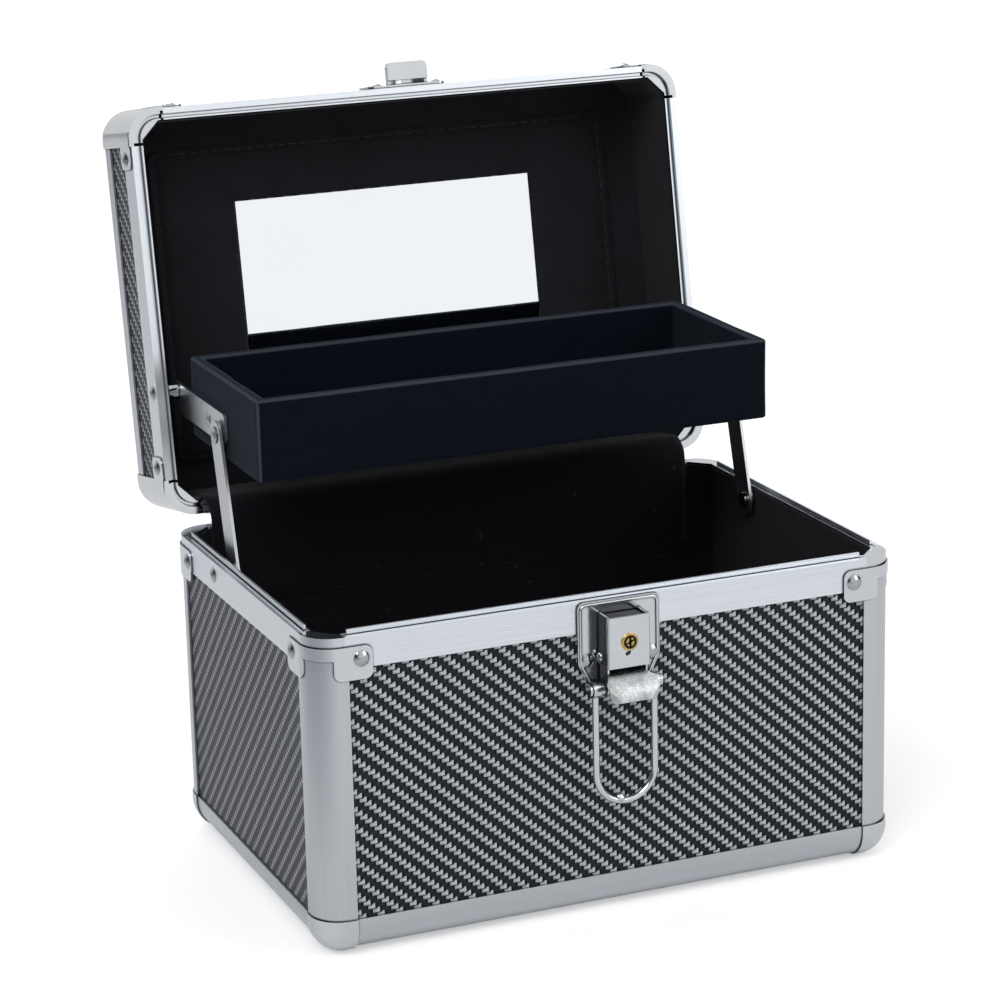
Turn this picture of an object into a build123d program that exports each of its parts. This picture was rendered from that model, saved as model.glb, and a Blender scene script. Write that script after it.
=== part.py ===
"""A hard-sided makeup storage case with a carrying handle, open as it stands on a table.

An aluminium framed box of carbon-look panels carries a hinged lid with a mirror. Two arms lift a velvet
tray out of the base as the lid opens. A lockable draw latch closes the front. Millimetres throughout:
+X is to the right of someone facing the latch, -Y is the front and the case stands on Z = 0.
The lid is drawn as if it were closed, in a frame on the hinge axis, and that frame is turned open.
"""

import os
from math import asin, cos, hypot, radians, sin

from build123d import *

os.makedirs("parts", exist_ok=True)

# Overall sizes
case_width = 250.0
case_depth = 170.0
parting_height = 130.0
lid_height = 49.0
open_angle = 100.0

# Extruded aluminium frame
profile_leg = 15.0
profile_radius = 12.5
profile_wall = 1.2
slot_depth = 2.4
inner_lip = 0.8
profile_bore = 1.6
lid_edge_radius = 9.0

# Boards and lining
panel_thickness = 3.0
lining_thickness = 0.8
lining_below_parting = 1.0
pad_thickness = 1.5
pad_margin = 12.0

# Rims that meet at the parting plane
base_rim_height = 13.0
lid_rim_height = 13.4
parting_gap = 0.2
tongue_from_face = 3.0
tongue_thickness = 0.9
tongue_height = 2.0
tongue_end_gap = 2.0
shadow_groove_width = 0.7
shadow_groove_depth = 1.0
lid_groove_from_face = 2.5
lid_groove_width = 1.9
lid_groove_depth = 2.5
rim_corner_leg = 13.7

# Pressed corner pieces
corner_proud = 0.6
corner_sheet = 1.8
tab_sheet = 0.8
tab_start = 9.0
tab_reach = 24.5
tab_height = 13.2
base_tab_below_parting = 17.2
lid_tab_above_parting = 1.8
tab_corner_radius = 3.0
band_height = 5.0

# Rivets
rivet_shank = 1.5
rivet_head = 3.2
rivet_dome = 1.3
rivet_clearance = 0.05
rivet_from_corner = 20.0
base_rivet_below_parting = 9.0
lid_rivet_above_parting = 8.7

# Hinges on the back
hinge_behind_case = 4.0
hinge_spacing = 144.0
hinge_length = 38.0
hinge_middle = 13.6
hinge_leaf = 1.2
hinge_leaf_height = 25.0
hinge_barrel = 3.8
hinge_pin = 1.5
hinge_side_gap = 0.2
hinge_notch = 4.2
hinge_rivet_spacing = 24.0
hinge_rivet_from_axis = 20.0
running_clearance = 0.05

# Lifting arms and tray
arm_pivot_y = 31.8
arm_pivot_below_parting = 5.75
arm_reach_back = 15.55
arm_rise = 53.9
arm_width = 12.0
arm_thickness = 1.2
arm_to_lining = 2.6
arm_to_bar = 1.1
spacer_radius = 3.5
stud_head = 3.25
stud_head_thickness = 0.9
open_pivot_clearance = 0.25
bar_thickness = 1.2
bar_height = 13.0
bar_above_pivot = 2.85
bar_end_radius = 3.0
bar_nose = 6.0
bar_tail = 6.0
bar_to_tray = 0.6
tray_depth = 86.5
tray_height = 34.0
tray_front_from_pivot = 42.95
tray_below_pivot = 10.75
tray_wall = 4.5
tray_floor = 3.0
tray_corner_radius = 1.6
tray_rivet_behind_pivot = 15.05

# Mirror
mirror_width = 138.0
mirror_height = 85.0
mirror_thickness = 1.8
mirror_clearance = 0.3

# Latch on the base
latch_x = 1.2
latch_sheet = 1.2
latch_plate_width = 34.8
latch_plate_foot = 22.0
latch_plate_top_gap = 0.4
latch_plate_height = 38.5
latch_plate_straight = 24.7
latch_plate_radius = 3.0
latch_rivet_spacing = 27.4
latch_rivet_below_parting = 24.2
lock_width = 18.0
lock_depth = 10.0
lock_height = 20.5
lock_below_parting = 5.0
plug_radius = 3.25
plug_below_parting = 15.2
plug_proud = 0.6
plug_length = 9.4
keyway_width = 1.0
keyway_height = 3.6
keyway_depth = 3.0
latch_pin_radius = 1.2
latch_pin_out = 6.0
latch_pin_below_parting = 34.5
ear_radius = 3.0
latch_collar = 2.5
lever_width = 21.0
lever_neck = 14.6
lever_sheet = 1.2
lever_reach = 12.0
lever_lip = 3.0
lever_back = 2.5
lever_crown = 7.4
lever_knee = 6.0
lever_knee_rise = 5.2
lever_tip_round = 2.4
lug_width = 3.0
lug_height = 6.6
lug_clearance = 0.2
bail_wire = 1.3
bail_half_width = 12.6
bail_drop = 47.6
bail_eye = 3.0
bail_eye_width = 3.0

# Catch on the lid
catch_plate_width = 35.0
catch_plate_height = 16.0
catch_plate_above_parting = 4.0
catch_rivet_spacing = 27.0
hook_width = 18.0
hook_reach = 9.5
hook_above_parting = 3.2
hook_corner_radius = 2.5
hook_mouth = 2.0
hook_slack = 0.3

# Folding handle on the lid
handle_span = 104.0
bracket_width = 16.0
bracket_depth = 28.0
bracket_sheet = 1.5
bracket_ear = 3.0
handle_pivot_height = 6.5
handle_pin = 2.0
handle_side_gap = 0.2
grip_drop = 26.0
grip_bar = 8.0
grip_thickness = 6.0
grip_bend = 14.0

# Fabric cover over the hinge gap, one strip in the base and one in the lid
flap_side_gap = 10.0
flap_thickness = 0.6
flap_base_height = 34.0
flap_lid_height = 30.0

# Worked out from the sizes above
half_width = case_width / 2
half_depth = case_depth / 2
panel_inner = profile_wall + panel_thickness
rim_width = panel_inner + inner_lip
web_chamfer = profile_radius - rim_width
panel_edge = profile_leg - slot_depth
foot_z = corner_proud
rim_bottom = parting_height - base_rim_height
rim_top = parting_height - parting_gap / 2
hinge_y = half_depth + hinge_behind_case
front_y = -half_depth
lid_front = front_y - hinge_y
lid_back = half_depth - hinge_y
lid_middle = (lid_front + lid_back) / 2
lid_bottom = parting_gap / 2
rivet_hole = rivet_shank + rivet_clearance

east = (1, 0, 0)
west = (-1, 0, 0)
north = (0, 1, 0)
south = (0, -1, 0)
up = (0, 0, 1)
down = (0, 0, -1)

# Local axes of this frame are those of the closed lid: x to the right, y to the back, z up.
opened = radians(open_angle)
lid_frame = Plane(
    origin=(0, hinge_y, parting_height), x_dir=east, z_dir=(0, sin(opened), cos(opened))
)


def on_lid(plane):
    """The same plane on the open lid, from one given for the closed lid from its hinge axis."""
    return Plane(lid_frame.location * plane.location)


def section_plane(origin, leg_a, leg_b):
    """A plane at origin whose x and y run along the two legs of a section."""
    return Plane(origin=origin, x_dir=leg_a, z_dir=Vector(leg_a).cross(Vector(leg_b)))


def facing(origin, normal):
    """A plane at origin that faces the way of normal, with its y upwards where it stands upright."""
    level = abs(normal[2]) > 0.5
    return Plane(origin=origin, x_dir=east if level else Vector(up).cross(Vector(normal)), z_dir=normal)


def save(piece, name):
    """Labels a finished sub-part and writes its file."""
    piece.part.label = name
    export_step(piece.part, f"parts/{name}.step")


def bore(plane, radius, depth):
    """Drills a round hole into the part being built, behind the plane."""
    with BuildSketch(plane) as hole:
        Circle(radius)
    extrude(hole.sketch, amount=-depth, mode=Mode.SUBTRACT)


def disc(plane, start, end, radius):
    """Adds a round step to the part being built, between two heights over the plane."""
    with BuildSketch(plane.offset(start)) as step:
        Circle(radius)
    extrude(step.sketch, amount=end - start)


def dome(plane, radius, height):
    """Adds a domed head to the part being built, in front of the plane."""
    ball = (radius**2 + height**2) / (2 * height)
    half_turn = asin(radius / ball) / 2
    middle = (height - ball + ball * cos(half_turn), ball * sin(half_turn))
    side = Plane(origin=plane.origin, x_dir=plane.z_dir, z_dir=plane.y_dir)
    with BuildSketch(side) as half:
        with BuildLine():
            Line((0, 0), (height, 0))
            ThreePointArc((height, 0), middle, (0, radius))
            Line((0, radius), (0, 0))
        make_face()
    revolve(half.sketch, axis=Axis(plane.origin, plane.z_dir))


def rivet(plane, grip):
    """Adds a rivet to the part being built: its shank goes back from the plane by its grip."""
    disc(plane, -grip, 0, rivet_shank)
    dome(plane, rivet_head, rivet_dome)


def profile_section(plane, radius):
    """Corner extrusion: two legs with a slot for a board each, a web across the inside and a bore."""
    web_start = rim_width + web_chamfer
    quarter = radius * (1 - cos(radians(45)))
    bore_at = (quarter + rim_width + web_chamfer / 2) / 2
    with BuildSketch(plane) as section:
        with BuildLine():
            Line((profile_leg, 0), (radius, 0))
            ThreePointArc((radius, 0), (quarter, quarter), (0, radius))
            Polyline(
                (0, radius),
                (0, profile_leg),
                (profile_wall, profile_leg),
                (profile_wall, panel_edge),
                (panel_inner, panel_edge),
                (panel_inner, profile_leg),
                (rim_width, profile_leg),
                (rim_width, web_start),
                (web_start, rim_width),
                (profile_leg, rim_width),
                (profile_leg, panel_inner),
                (panel_edge, panel_inner),
                (panel_edge, profile_wall),
                (profile_leg, profile_wall),
                (profile_leg, 0),
            )
        make_face()
        with Locations((bore_at, bore_at)):
            Circle(profile_bore, mode=Mode.SUBTRACT)
    return section.sketch


def profile_run(plane, radius, length):
    """A straight run of the corner extrusion, the plane's origin at the middle of its outer corner."""
    with BuildPart() as run:
        extrude(profile_section(plane, radius), amount=length / 2, both=True)
    return run


def board(plane, width, height, holes=()):
    """A panel behind the plane, which is its outer face, with the rivet holes that it needs."""
    with BuildPart() as piece:
        with BuildSketch(plane):
            Rectangle(width, height)
        extrude(amount=-panel_thickness)
        for hole in holes:
            bore(hole, rivet_hole, profile_wall + panel_thickness + 1)
    return piece


# ---------------------------------------------------------------- base: frame
upright_bottom = foot_z + profile_leg
upright_length = rim_bottom - upright_bottom
corners = {
    "front_left": (-1, -1),
    "front_right": (1, -1),
    "back_left": (-1, 1),
    "back_right": (1, 1),
}
for name, (sx, sy) in corners.items():
    origin = (sx * half_width, sy * half_depth, (upright_bottom + rim_bottom) / 2)
    leg_x = (-sx, 0, 0)
    leg_y = (0, -sy, 0)
    save(
        profile_run(section_plane(origin, leg_x, leg_y), profile_radius, upright_length),
        f"base_upright_{name}",
    )

rail_x_length = case_width - 2 * profile_leg
rail_y_length = case_depth - 2 * profile_leg
sides = {
    "front": (0, -half_depth, north, rail_x_length),
    "back": (0, half_depth, south, rail_x_length),
    "left": (-half_width, 0, east, rail_y_length),
    "right": (half_width, 0, west, rail_y_length),
}
for name, (x, y, inward, length) in sides.items():
    rail_plane = section_plane((x, y, foot_z), inward, up)
    save(profile_run(rail_plane, profile_radius, length), f"base_foot_rail_{name}")

# Four pressed feet, cut from one rounded shell
with BuildPart() as base_foot_corners:
    with BuildSketch():
        Rectangle(case_width + 2 * corner_proud, case_depth + 2 * corner_proud)
    extrude(amount=2 * profile_leg)
    fillet(base_foot_corners.edges().filter_by(Axis.Z), profile_radius)
    fillet(base_foot_corners.faces().sort_by(Axis.Z)[0].edges(), profile_radius - 0.01)
    top_face = base_foot_corners.faces().sort_by(Axis.Z)[-1]
    offset(amount=-corner_sheet, openings=top_face)
    with BuildSketch():
        Rectangle(2 * case_width, rail_y_length)
        Rectangle(rail_x_length, 2 * case_depth)
    extrude(amount=3 * profile_leg, mode=Mode.SUBTRACT)
    with BuildSketch(Plane.XY.offset(upright_bottom)):
        Rectangle(2 * case_width, 2 * case_depth)
    extrude(amount=2 * profile_leg, mode=Mode.SUBTRACT)
save(base_foot_corners, "base_foot_corners")

# ---------------------------------------------------------------- base: panels
panel_x = case_width - 2 * panel_edge
panel_y = case_depth - 2 * panel_edge
base_panel_bottom = foot_z + panel_edge
base_panel_top = rim_bottom + slot_depth
base_panel_middle = (base_panel_bottom + base_panel_top) / 2
base_panel_height = base_panel_top - base_panel_bottom

latch_rivet_z = parting_height - latch_rivet_below_parting
latch_rivet_x = [latch_x - latch_rivet_spacing / 2, latch_x + latch_rivet_spacing / 2]
latch_face = front_y - latch_sheet
latch_rivets = [facing((x, latch_face, latch_rivet_z), south) for x in latch_rivet_x]
latch_grip = panel_inner + latch_sheet

hinge_x = [-hinge_spacing / 2, hinge_spacing / 2]
hinge_rivet_x = [x + side * hinge_rivet_spacing / 2 for x in hinge_x for side in (-1, 1)]
hinge_face = half_depth + hinge_leaf
base_hinge_rivets = [
    facing((x, hinge_face, parting_height - hinge_rivet_from_axis), north) for x in hinge_rivet_x
]
lid_hinge_rivets = [
    on_lid(facing((x, lid_back + hinge_leaf, hinge_rivet_from_axis), north)) for x in hinge_rivet_x
]
hinge_grip = panel_inner + hinge_leaf

base_front_face = facing((0, front_y + profile_wall, base_panel_middle), south)
base_front_holes = [facing((x, front_y, latch_rivet_z), south) for x in latch_rivet_x]
save(board(base_front_face, panel_x, base_panel_height, base_front_holes), "base_front_panel")

base_back_face = facing((0, half_depth - profile_wall, base_panel_middle), north)
base_back_holes = [plane.offset(-hinge_leaf) for plane in base_hinge_rivets]
save(board(base_back_face, panel_x, base_panel_height, base_back_holes), "base_back_panel")

base_left_face = facing((-half_width + profile_wall, 0, base_panel_middle), west)
save(board(base_left_face, panel_y, base_panel_height), "base_left_panel")
base_right_face = facing((half_width - profile_wall, 0, base_panel_middle), east)
save(board(base_right_face, panel_y, base_panel_height), "base_right_panel")

base_floor_face = Plane(origin=(0, 0, foot_z + profile_wall), x_dir=east, z_dir=down)
save(board(base_floor_face, panel_x, panel_y), "base_floor_panel")

# ---------------------------------------------------------------- base: lining
lining_x = case_width - 2 * rim_width
lining_y = case_depth - 2 * rim_width
stud_z = parting_height - arm_pivot_below_parting
lining_floor = foot_z + rim_width
lining_top = parting_height - lining_below_parting
with BuildPart() as base_lining:
    with BuildSketch(Plane.XY.offset(lining_floor)):
        Rectangle(lining_x, lining_y)
    extrude(amount=lining_top - lining_floor)
    chamfer(base_lining.edges().filter_by(Axis.Z), web_chamfer)
    chamfer(base_lining.faces().sort_by(Axis.Z)[0].edges(), web_chamfer)
    offset(amount=-lining_thickness, openings=base_lining.faces().sort_by(Axis.Z)[-1])
    for side in (west, east):
        wall = facing((side[0] * half_width, arm_pivot_y, stud_z), side)
        bore(wall, rivet_hole, rim_width + 2 * lining_thickness)
save(base_lining, "base_lining")

# ---------------------------------------------------------------- base: rims
base_rivet_z = parting_height - base_rivet_below_parting
rim_x_length = case_width - 2 * rim_corner_leg
rim_y_length = case_depth - 2 * rim_corner_leg
rivet_x = half_width - rivet_from_corner
rivet_y = half_depth - rivet_from_corner
rim_section_height = rim_top - rim_bottom
rim_sides = {
    "front": (0, -half_depth, north, rim_x_length, [(-rivet_x, -half_depth), (rivet_x, -half_depth)]),
    "back": (0, half_depth, south, rim_x_length, [(-rivet_x, half_depth), (rivet_x, half_depth)]),
    "left": (-half_width, 0, east, rim_y_length, [(-half_width, -rivet_y), (-half_width, rivet_y)]),
    "right": (half_width, 0, west, rim_y_length, [(half_width, -rivet_y), (half_width, rivet_y)]),
}
outward = {"front": south, "back": north, "left": west, "right": east}
for name, (x, y, inward, length, rivet_sites) in rim_sides.items():
    run = section_plane((x, y, rim_bottom), inward, up)
    groove = tongue_from_face - shadow_groove_width
    groove_floor = rim_section_height - shadow_groove_depth
    tongue_back = tongue_from_face + tongue_thickness
    with BuildPart() as base_rim:
        with BuildSketch(run):
            with BuildLine():
                Polyline(
                    (0, 0),
                    (profile_wall, 0),
                    (profile_wall, slot_depth),
                    (panel_inner, slot_depth),
                    (panel_inner, 0),
                    (rim_width, 0),
                    (rim_width, rim_section_height),
                    (tongue_from_face, rim_section_height),
                    (tongue_from_face, groove_floor),
                    (groove, groove_floor),
                    (groove, rim_section_height),
                    (0, rim_section_height),
                    close=True,
                )
            make_face()
        extrude(amount=length / 2, both=True)
        with BuildSketch(run):
            with BuildLine():
                Polyline(
                    (tongue_from_face, rim_section_height),
                    (tongue_back, rim_section_height),
                    (tongue_back, rim_section_height + tongue_height),
                    (tongue_from_face, rim_section_height + tongue_height),
                    close=True,
                )
            make_face()
        extrude(amount=length / 2 - tongue_end_gap, both=True)
        for site_x, site_y in rivet_sites:
            bore(facing((site_x, site_y, base_rivet_z), outward[name]), rivet_hole, rim_width)
        if name in ("left", "right"):
            bore(facing((x, arm_pivot_y, stud_z), outward[name]), rivet_hole, rim_width)
    save(base_rim, f"base_rim_{name}")


def corner_rivet_planes(level):
    """Outward planes of the eight rivets of one rim, on the faces of the corner tabs."""
    planes = []
    for sx in (-1, 1):
        for sy in (-1, 1):
            front_face = (sx * rivet_x, sy * (half_depth + tab_sheet), level)
            side_face = (sx * (half_width + tab_sheet), sy * rivet_y, level)
            planes.append(facing(front_face, (0, sy, 0)))
            planes.append(facing(side_face, (sx, 0, 0)))
    return planes


def keep_corners(middle, leg):
    """Cuts the middle of every side away from the sketch being drawn, and leaves its corners."""
    with Locations((0, middle)):
        Rectangle(case_width - 2 * leg, 2 * case_depth, mode=Mode.SUBTRACT)
        Rectangle(2 * case_width, case_depth - 2 * leg, mode=Mode.SUBTRACT)


def rounded_ring(middle, outer_gap, inner_gap):
    """Draws a rounded ring that lies outer_gap outside and inner_gap inside the case's outline."""
    with Locations((0, middle)):
        RectangleRounded(
            case_width + 2 * outer_gap, case_depth + 2 * outer_gap, profile_radius + outer_gap
        )
        RectangleRounded(
            case_width - 2 * inner_gap,
            case_depth - 2 * inner_gap,
            profile_radius - inner_gap,
            mode=Mode.SUBTRACT,
        )


def solid_corners(middle):
    """Draws the four corners of a rim in plan, out to the case's outline and in to the lining."""
    with Locations((0, middle)):
        RectangleRounded(case_width, case_depth, profile_radius)
        with BuildSketch(mode=Mode.PRIVATE) as lined:
            Rectangle(lining_x, lining_y)
            chamfer(lined.vertices(), web_chamfer)
        add(lined.sketch, mode=Mode.SUBTRACT)
    keep_corners(middle, rim_corner_leg)


def corner_tabs(frame, middle, level):
    """The tabs of one rim, a pair at each corner with round ends, from the level upwards."""
    tab_middle = level + tab_height / 2
    tab_length = tab_reach - tab_start
    tab_x = half_width - (tab_start + tab_reach) / 2
    tab_y = half_depth - (tab_start + tab_reach) / 2
    with BuildPart() as tabs:
        with BuildSketch(frame.offset(level)):
            rounded_ring(middle, tab_sheet, 0)
        extrude(amount=tab_height)
        with BuildPart(mode=Mode.PRIVATE) as outlines:
            front_view = Plane(origin=(0, middle, tab_middle), x_dir=east, z_dir=south)
            side_view = Plane(origin=(0, middle, tab_middle), x_dir=north, z_dir=east)
            for view, centre in ((front_view, tab_x), (side_view, tab_y)):
                with BuildSketch(Plane(frame.location * view.location)) as outline:
                    with Locations((-centre, 0), (centre, 0)):
                        RectangleRounded(tab_length, tab_height, tab_corner_radius)
                extrude(outline.sketch, amount=case_width, both=True)
        add(outlines.part, mode=Mode.INTERSECT)
    return tabs.part


def board_outlines(middle):
    """Draws the edges of the four upright boards in plan, to cut their slots out of the corners."""
    with Locations((0, middle)):
        Rectangle(panel_x, case_depth - 2 * profile_wall)
        Rectangle(case_width - 2 * profile_wall, panel_y)
        Rectangle(case_width - 2 * panel_inner, case_depth - 2 * panel_inner, mode=Mode.SUBTRACT)


base_rivet_planes = corner_rivet_planes(base_rivet_z)
base_tab_level = parting_height - base_tab_below_parting
with BuildPart() as base_rim_corners:
    with BuildSketch(Plane.XY.offset(rim_bottom)):
        solid_corners(0)
    extrude(amount=rim_section_height)
    with BuildSketch(Plane.XY.offset(rim_bottom)):
        board_outlines(0)
    extrude(amount=slot_depth, mode=Mode.SUBTRACT)
    add(corner_tabs(Plane.XY, 0, base_tab_level))
    with BuildSketch(Plane.XY.offset(base_tab_level + tab_height - band_height)):
        rounded_ring(0, tab_sheet, 0)
        keep_corners(0, tab_start + tab_corner_radius)
    extrude(amount=band_height)
    for plane in base_rivet_planes:
        bore(plane, rivet_hole, tab_sheet)
save(base_rim_corners, "base_rim_corners")

with BuildPart() as base_rivets:
    for plane in base_rivet_planes:
        rivet(plane, tab_sheet + rim_width)
    for plane in latch_rivets:
        rivet(plane, latch_grip)
    for plane in base_hinge_rivets:
        rivet(plane, hinge_grip)
save(base_rivets, "base_rivets")

# ---------------------------------------------------------------- base: latch
latch_plate_top = parting_height - latch_plate_top_gap
latch_plate_bottom = latch_plate_top - latch_plate_height
latch_shoulder = latch_plate_top - latch_plate_straight
pin_y = front_y - latch_pin_out
pin_z = parting_height - latch_pin_below_parting
with BuildPart() as latch_plate:
    with BuildSketch(facing((latch_x, front_y, 0), south)) as plate_outline:
        with BuildLine():
            Polyline(
                (-latch_plate_width / 2, latch_shoulder),
                (-latch_plate_width / 2, latch_plate_top),
                (latch_plate_width / 2, latch_plate_top),
                (latch_plate_width / 2, latch_shoulder),
                (latch_plate_foot / 2, latch_plate_bottom),
                (-latch_plate_foot / 2, latch_plate_bottom),
                close=True,
            )
        make_face()
        fillet(plate_outline.vertices(), latch_plate_radius)
    extrude(amount=latch_sheet)
    for plane in latch_rivets:
        bore(plane, rivet_hole, latch_sheet)
save(latch_plate, "latch_plate")

lock_top = parting_height - lock_below_parting
lock_bottom = lock_top - lock_height
lock_middle_y = latch_face - lock_depth / 2
plug_z = parting_height - plug_below_parting
lock_front = latch_face - lock_depth
with BuildPart() as lock_housing:
    with BuildSketch(Plane.XY.offset(lock_bottom)):
        with Locations((latch_x, lock_middle_y)):
            Rectangle(lock_width, lock_depth)
        with Locations((latch_x, lock_middle_y + latch_sheet)):
            Rectangle(lock_width - 2 * latch_sheet, lock_depth, mode=Mode.SUBTRACT)
    extrude(amount=lock_height)
    front_edges = lock_housing.edges().filter_by(Axis.Z).group_by(Axis.Y)[0]
    fillet(front_edges, latch_sheet)
    for side in (-1, 1):
        ear_face = Plane.YZ.offset(latch_x + side * (lock_width - latch_sheet) / 2)
        with BuildSketch(ear_face):
            with Locations((pin_y, pin_z)):
                Circle(ear_radius)
            with Locations((pin_y, (pin_z + lock_bottom) / 2)):
                Rectangle(2 * ear_radius, lock_bottom - pin_z)
            with Locations((pin_y, pin_z)):
                Circle(latch_pin_radius, mode=Mode.SUBTRACT)
        extrude(amount=latch_sheet / 2, both=True)
    bore(facing((latch_x, lock_front, plug_z), south), plug_radius + running_clearance, latch_sheet)
save(lock_housing, "lock_housing")

plug_face = facing((latch_x, lock_front, plug_z), south)
with BuildPart() as key_cylinder:
    disc(plug_face, plug_proud - plug_length, plug_proud, plug_radius)
    with BuildSketch(plug_face.offset(plug_proud)):
        Rectangle(keyway_width, keyway_height)
    extrude(amount=-keyway_depth, mode=Mode.SUBTRACT)
save(key_cylinder, "key_cylinder")

pin_axis = Plane(origin=(latch_x, pin_y, pin_z), x_dir=north, z_dir=east)
eye_inner = bail_half_width - bail_eye_width / 2
eye_outer = bail_half_width + bail_eye_width / 2
pin_end = eye_outer + 2 * running_clearance
collar_start = lock_width / 2
with BuildPart() as latch_pin:
    disc(pin_axis, -pin_end, pin_end, latch_pin_radius)
    disc(pin_axis, pin_end, pin_end + latch_sheet, 2 * latch_pin_radius)
    disc(pin_axis, -pin_end - latch_sheet, -pin_end, 2 * latch_pin_radius)
    disc(pin_axis, collar_start, eye_inner - running_clearance, latch_collar)
    disc(pin_axis, running_clearance - eye_inner, -collar_start, latch_collar)
save(latch_pin, "latch_pin")

pin_hole = latch_pin_radius + running_clearance
lever_lug = lever_neck / 2
lever_neck_y = pin_y - ear_radius - lug_clearance * 5
lever_shoulder_y = lever_neck_y - lever_lip
with BuildPart() as latch_lever:
    with BuildSketch(Plane.YZ.offset(latch_x)):
        with BuildLine():
            crown = ThreePointArc(
                (pin_y + lever_back, pin_z + lever_crown),
                (pin_y - lever_knee, pin_z + lever_knee_rise),
                (pin_y - lever_reach + lever_sheet / 2, pin_z - lever_lip),
            )
            hollow = ThreePointArc(
                (pin_y + lever_back, pin_z + lever_crown - lever_sheet),
                (pin_y - lever_knee + lever_sheet * 2 / 3, pin_z + lever_knee_rise - lever_sheet * 5 / 6),
                (pin_y - lever_reach + lever_sheet * 4 / 3, pin_z - lever_lip - lever_sheet / 2),
            )
            Line(crown @ 0, hollow @ 0)
            Line(crown @ 1, hollow @ 1)
        make_face()
    extrude(amount=lever_width / 2, both=True)
    with BuildSketch(Plane.XY.offset(pin_z - lever_reach)) as fan:
        with BuildLine():
            Polyline(
                (latch_x - lever_lug, pin_y + 2 * ear_radius),
                (latch_x - lever_lug, lever_neck_y),
                (latch_x - lever_width / 2, lever_shoulder_y),
                (latch_x - lever_width / 2, pin_y - lever_reach + lever_tip_round),
                (latch_x - lever_width / 4, pin_y - lever_reach),
                (latch_x + lever_width / 4, pin_y - lever_reach),
                (latch_x + lever_width / 2, pin_y - lever_reach + lever_tip_round),
                (latch_x + lever_width / 2, lever_shoulder_y),
                (latch_x + lever_lug, lever_neck_y),
                (latch_x + lever_lug, pin_y + 2 * ear_radius),
                close=True,
            )
        make_face()
        fillet(fan.vertices().group_by(Axis.Y)[0], lever_width / 6)
    extrude(amount=2 * lever_reach, mode=Mode.INTERSECT)
    with BuildSketch(Plane.YZ.offset(latch_x)):
        with Locations((pin_y, pin_z)):
            Circle(ear_radius - lug_clearance)
        with Locations((pin_y, pin_z + lug_height / 2)):
            Rectangle(lug_width, lug_height)
    extrude(amount=lever_lug, both=True)
    bore(pin_axis.offset(lever_width), pin_hole, 2 * lever_width)
save(latch_lever, "latch_lever")

bail_plane = facing((latch_x, pin_y, pin_z), south)
bail_turn = bail_drop - bail_half_width
bail_start = (pin_hole + bail_eye) / 2
with BuildPart() as latch_bail:
    with BuildLine(bail_plane) as bail_path:
        Line((-bail_half_width, -bail_start), (-bail_half_width, -bail_turn))
        ThreePointArc(
            (-bail_half_width, -bail_turn), (0, -bail_drop), (bail_half_width, -bail_turn)
        )
        Line((bail_half_width, -bail_turn), (bail_half_width, -bail_start))
    with BuildSketch(Plane(origin=bail_path.line @ 0, x_dir=east, z_dir=down)):
        Circle(bail_wire)
    sweep(path=bail_path.line)
    for start in (-eye_outer, eye_inner):
        disc(pin_axis, start, start + bail_eye_width, bail_eye)
    bore(pin_axis.offset(2 * eye_outer), pin_hole, 4 * eye_outer)
save(latch_bail, "latch_bail")

# ---------------------------------------------------------------- hinges
knuckle_start = hinge_middle / 2 + hinge_side_gap


def hinge_leaf_solids(plane_of, middle_knuckle):
    """Both leaves of one side of the hinges. plane_of places a plane given from the hinge axis."""
    side = 1 if middle_knuckle else -1
    for x in hinge_x:
        with BuildSketch(plane_of(facing((x, lid_back, 0), north))) as leaf:
            with Locations((0, side * (hinge_notch + hinge_leaf_height) / 2)):
                Rectangle(hinge_length, hinge_leaf_height - hinge_notch)
        extrude(leaf.sketch, amount=hinge_leaf)
        if middle_knuckle:
            spans = [(-hinge_middle / 2, hinge_middle / 2)]
        else:
            spans = [(-hinge_length / 2, -knuckle_start), (knuckle_start, hinge_length / 2)]
        axis = plane_of(Plane(origin=(x, 0, 0), x_dir=north, z_dir=east))
        for start, end in spans:
            with BuildSketch(plane_of(facing((x, lid_back, 0), north))) as tongue_leaf:
                with Locations(((start + end) / 2, side * hinge_notch / 2)):
                    Rectangle(end - start, hinge_notch)
            extrude(tongue_leaf.sketch, amount=hinge_leaf)
            disc(axis, start, end, hinge_barrel)


def from_hinge_axis(plane):
    """The same plane on the base, from one given from the hinge axis."""
    return Plane(Location((0, hinge_y, parting_height)) * plane.location)


with BuildPart() as hinge_base_leaves:
    hinge_leaf_solids(from_hinge_axis, False)
    for plane in base_hinge_rivets:
        bore(plane, rivet_hole, hinge_leaf)
    for x in hinge_x:
        hinge_line = Plane(origin=(x, hinge_y, parting_height), x_dir=north, z_dir=east)
        bore(hinge_line.offset(hinge_length), hinge_pin, 2 * hinge_length)
save(hinge_base_leaves, "hinge_base_leaves")

with BuildPart() as hinge_lid_leaves:
    hinge_leaf_solids(on_lid, True)
    for plane in lid_hinge_rivets:
        bore(plane, rivet_hole, hinge_leaf)
    for x in hinge_x:
        hinge_line = Plane(origin=(x, hinge_y, parting_height), x_dir=north, z_dir=east)
        bore(hinge_line.offset(hinge_length), hinge_pin + running_clearance, 2 * hinge_length)
save(hinge_lid_leaves, "hinge_lid_leaves")

with BuildPart() as hinge_pins:
    for x in hinge_x:
        hinge_line = Plane(origin=(x, hinge_y, parting_height), x_dir=north, z_dir=east)
        disc(hinge_line, -hinge_length / 2, hinge_length / 2, hinge_pin)
save(hinge_pins, "hinge_pins")

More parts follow.
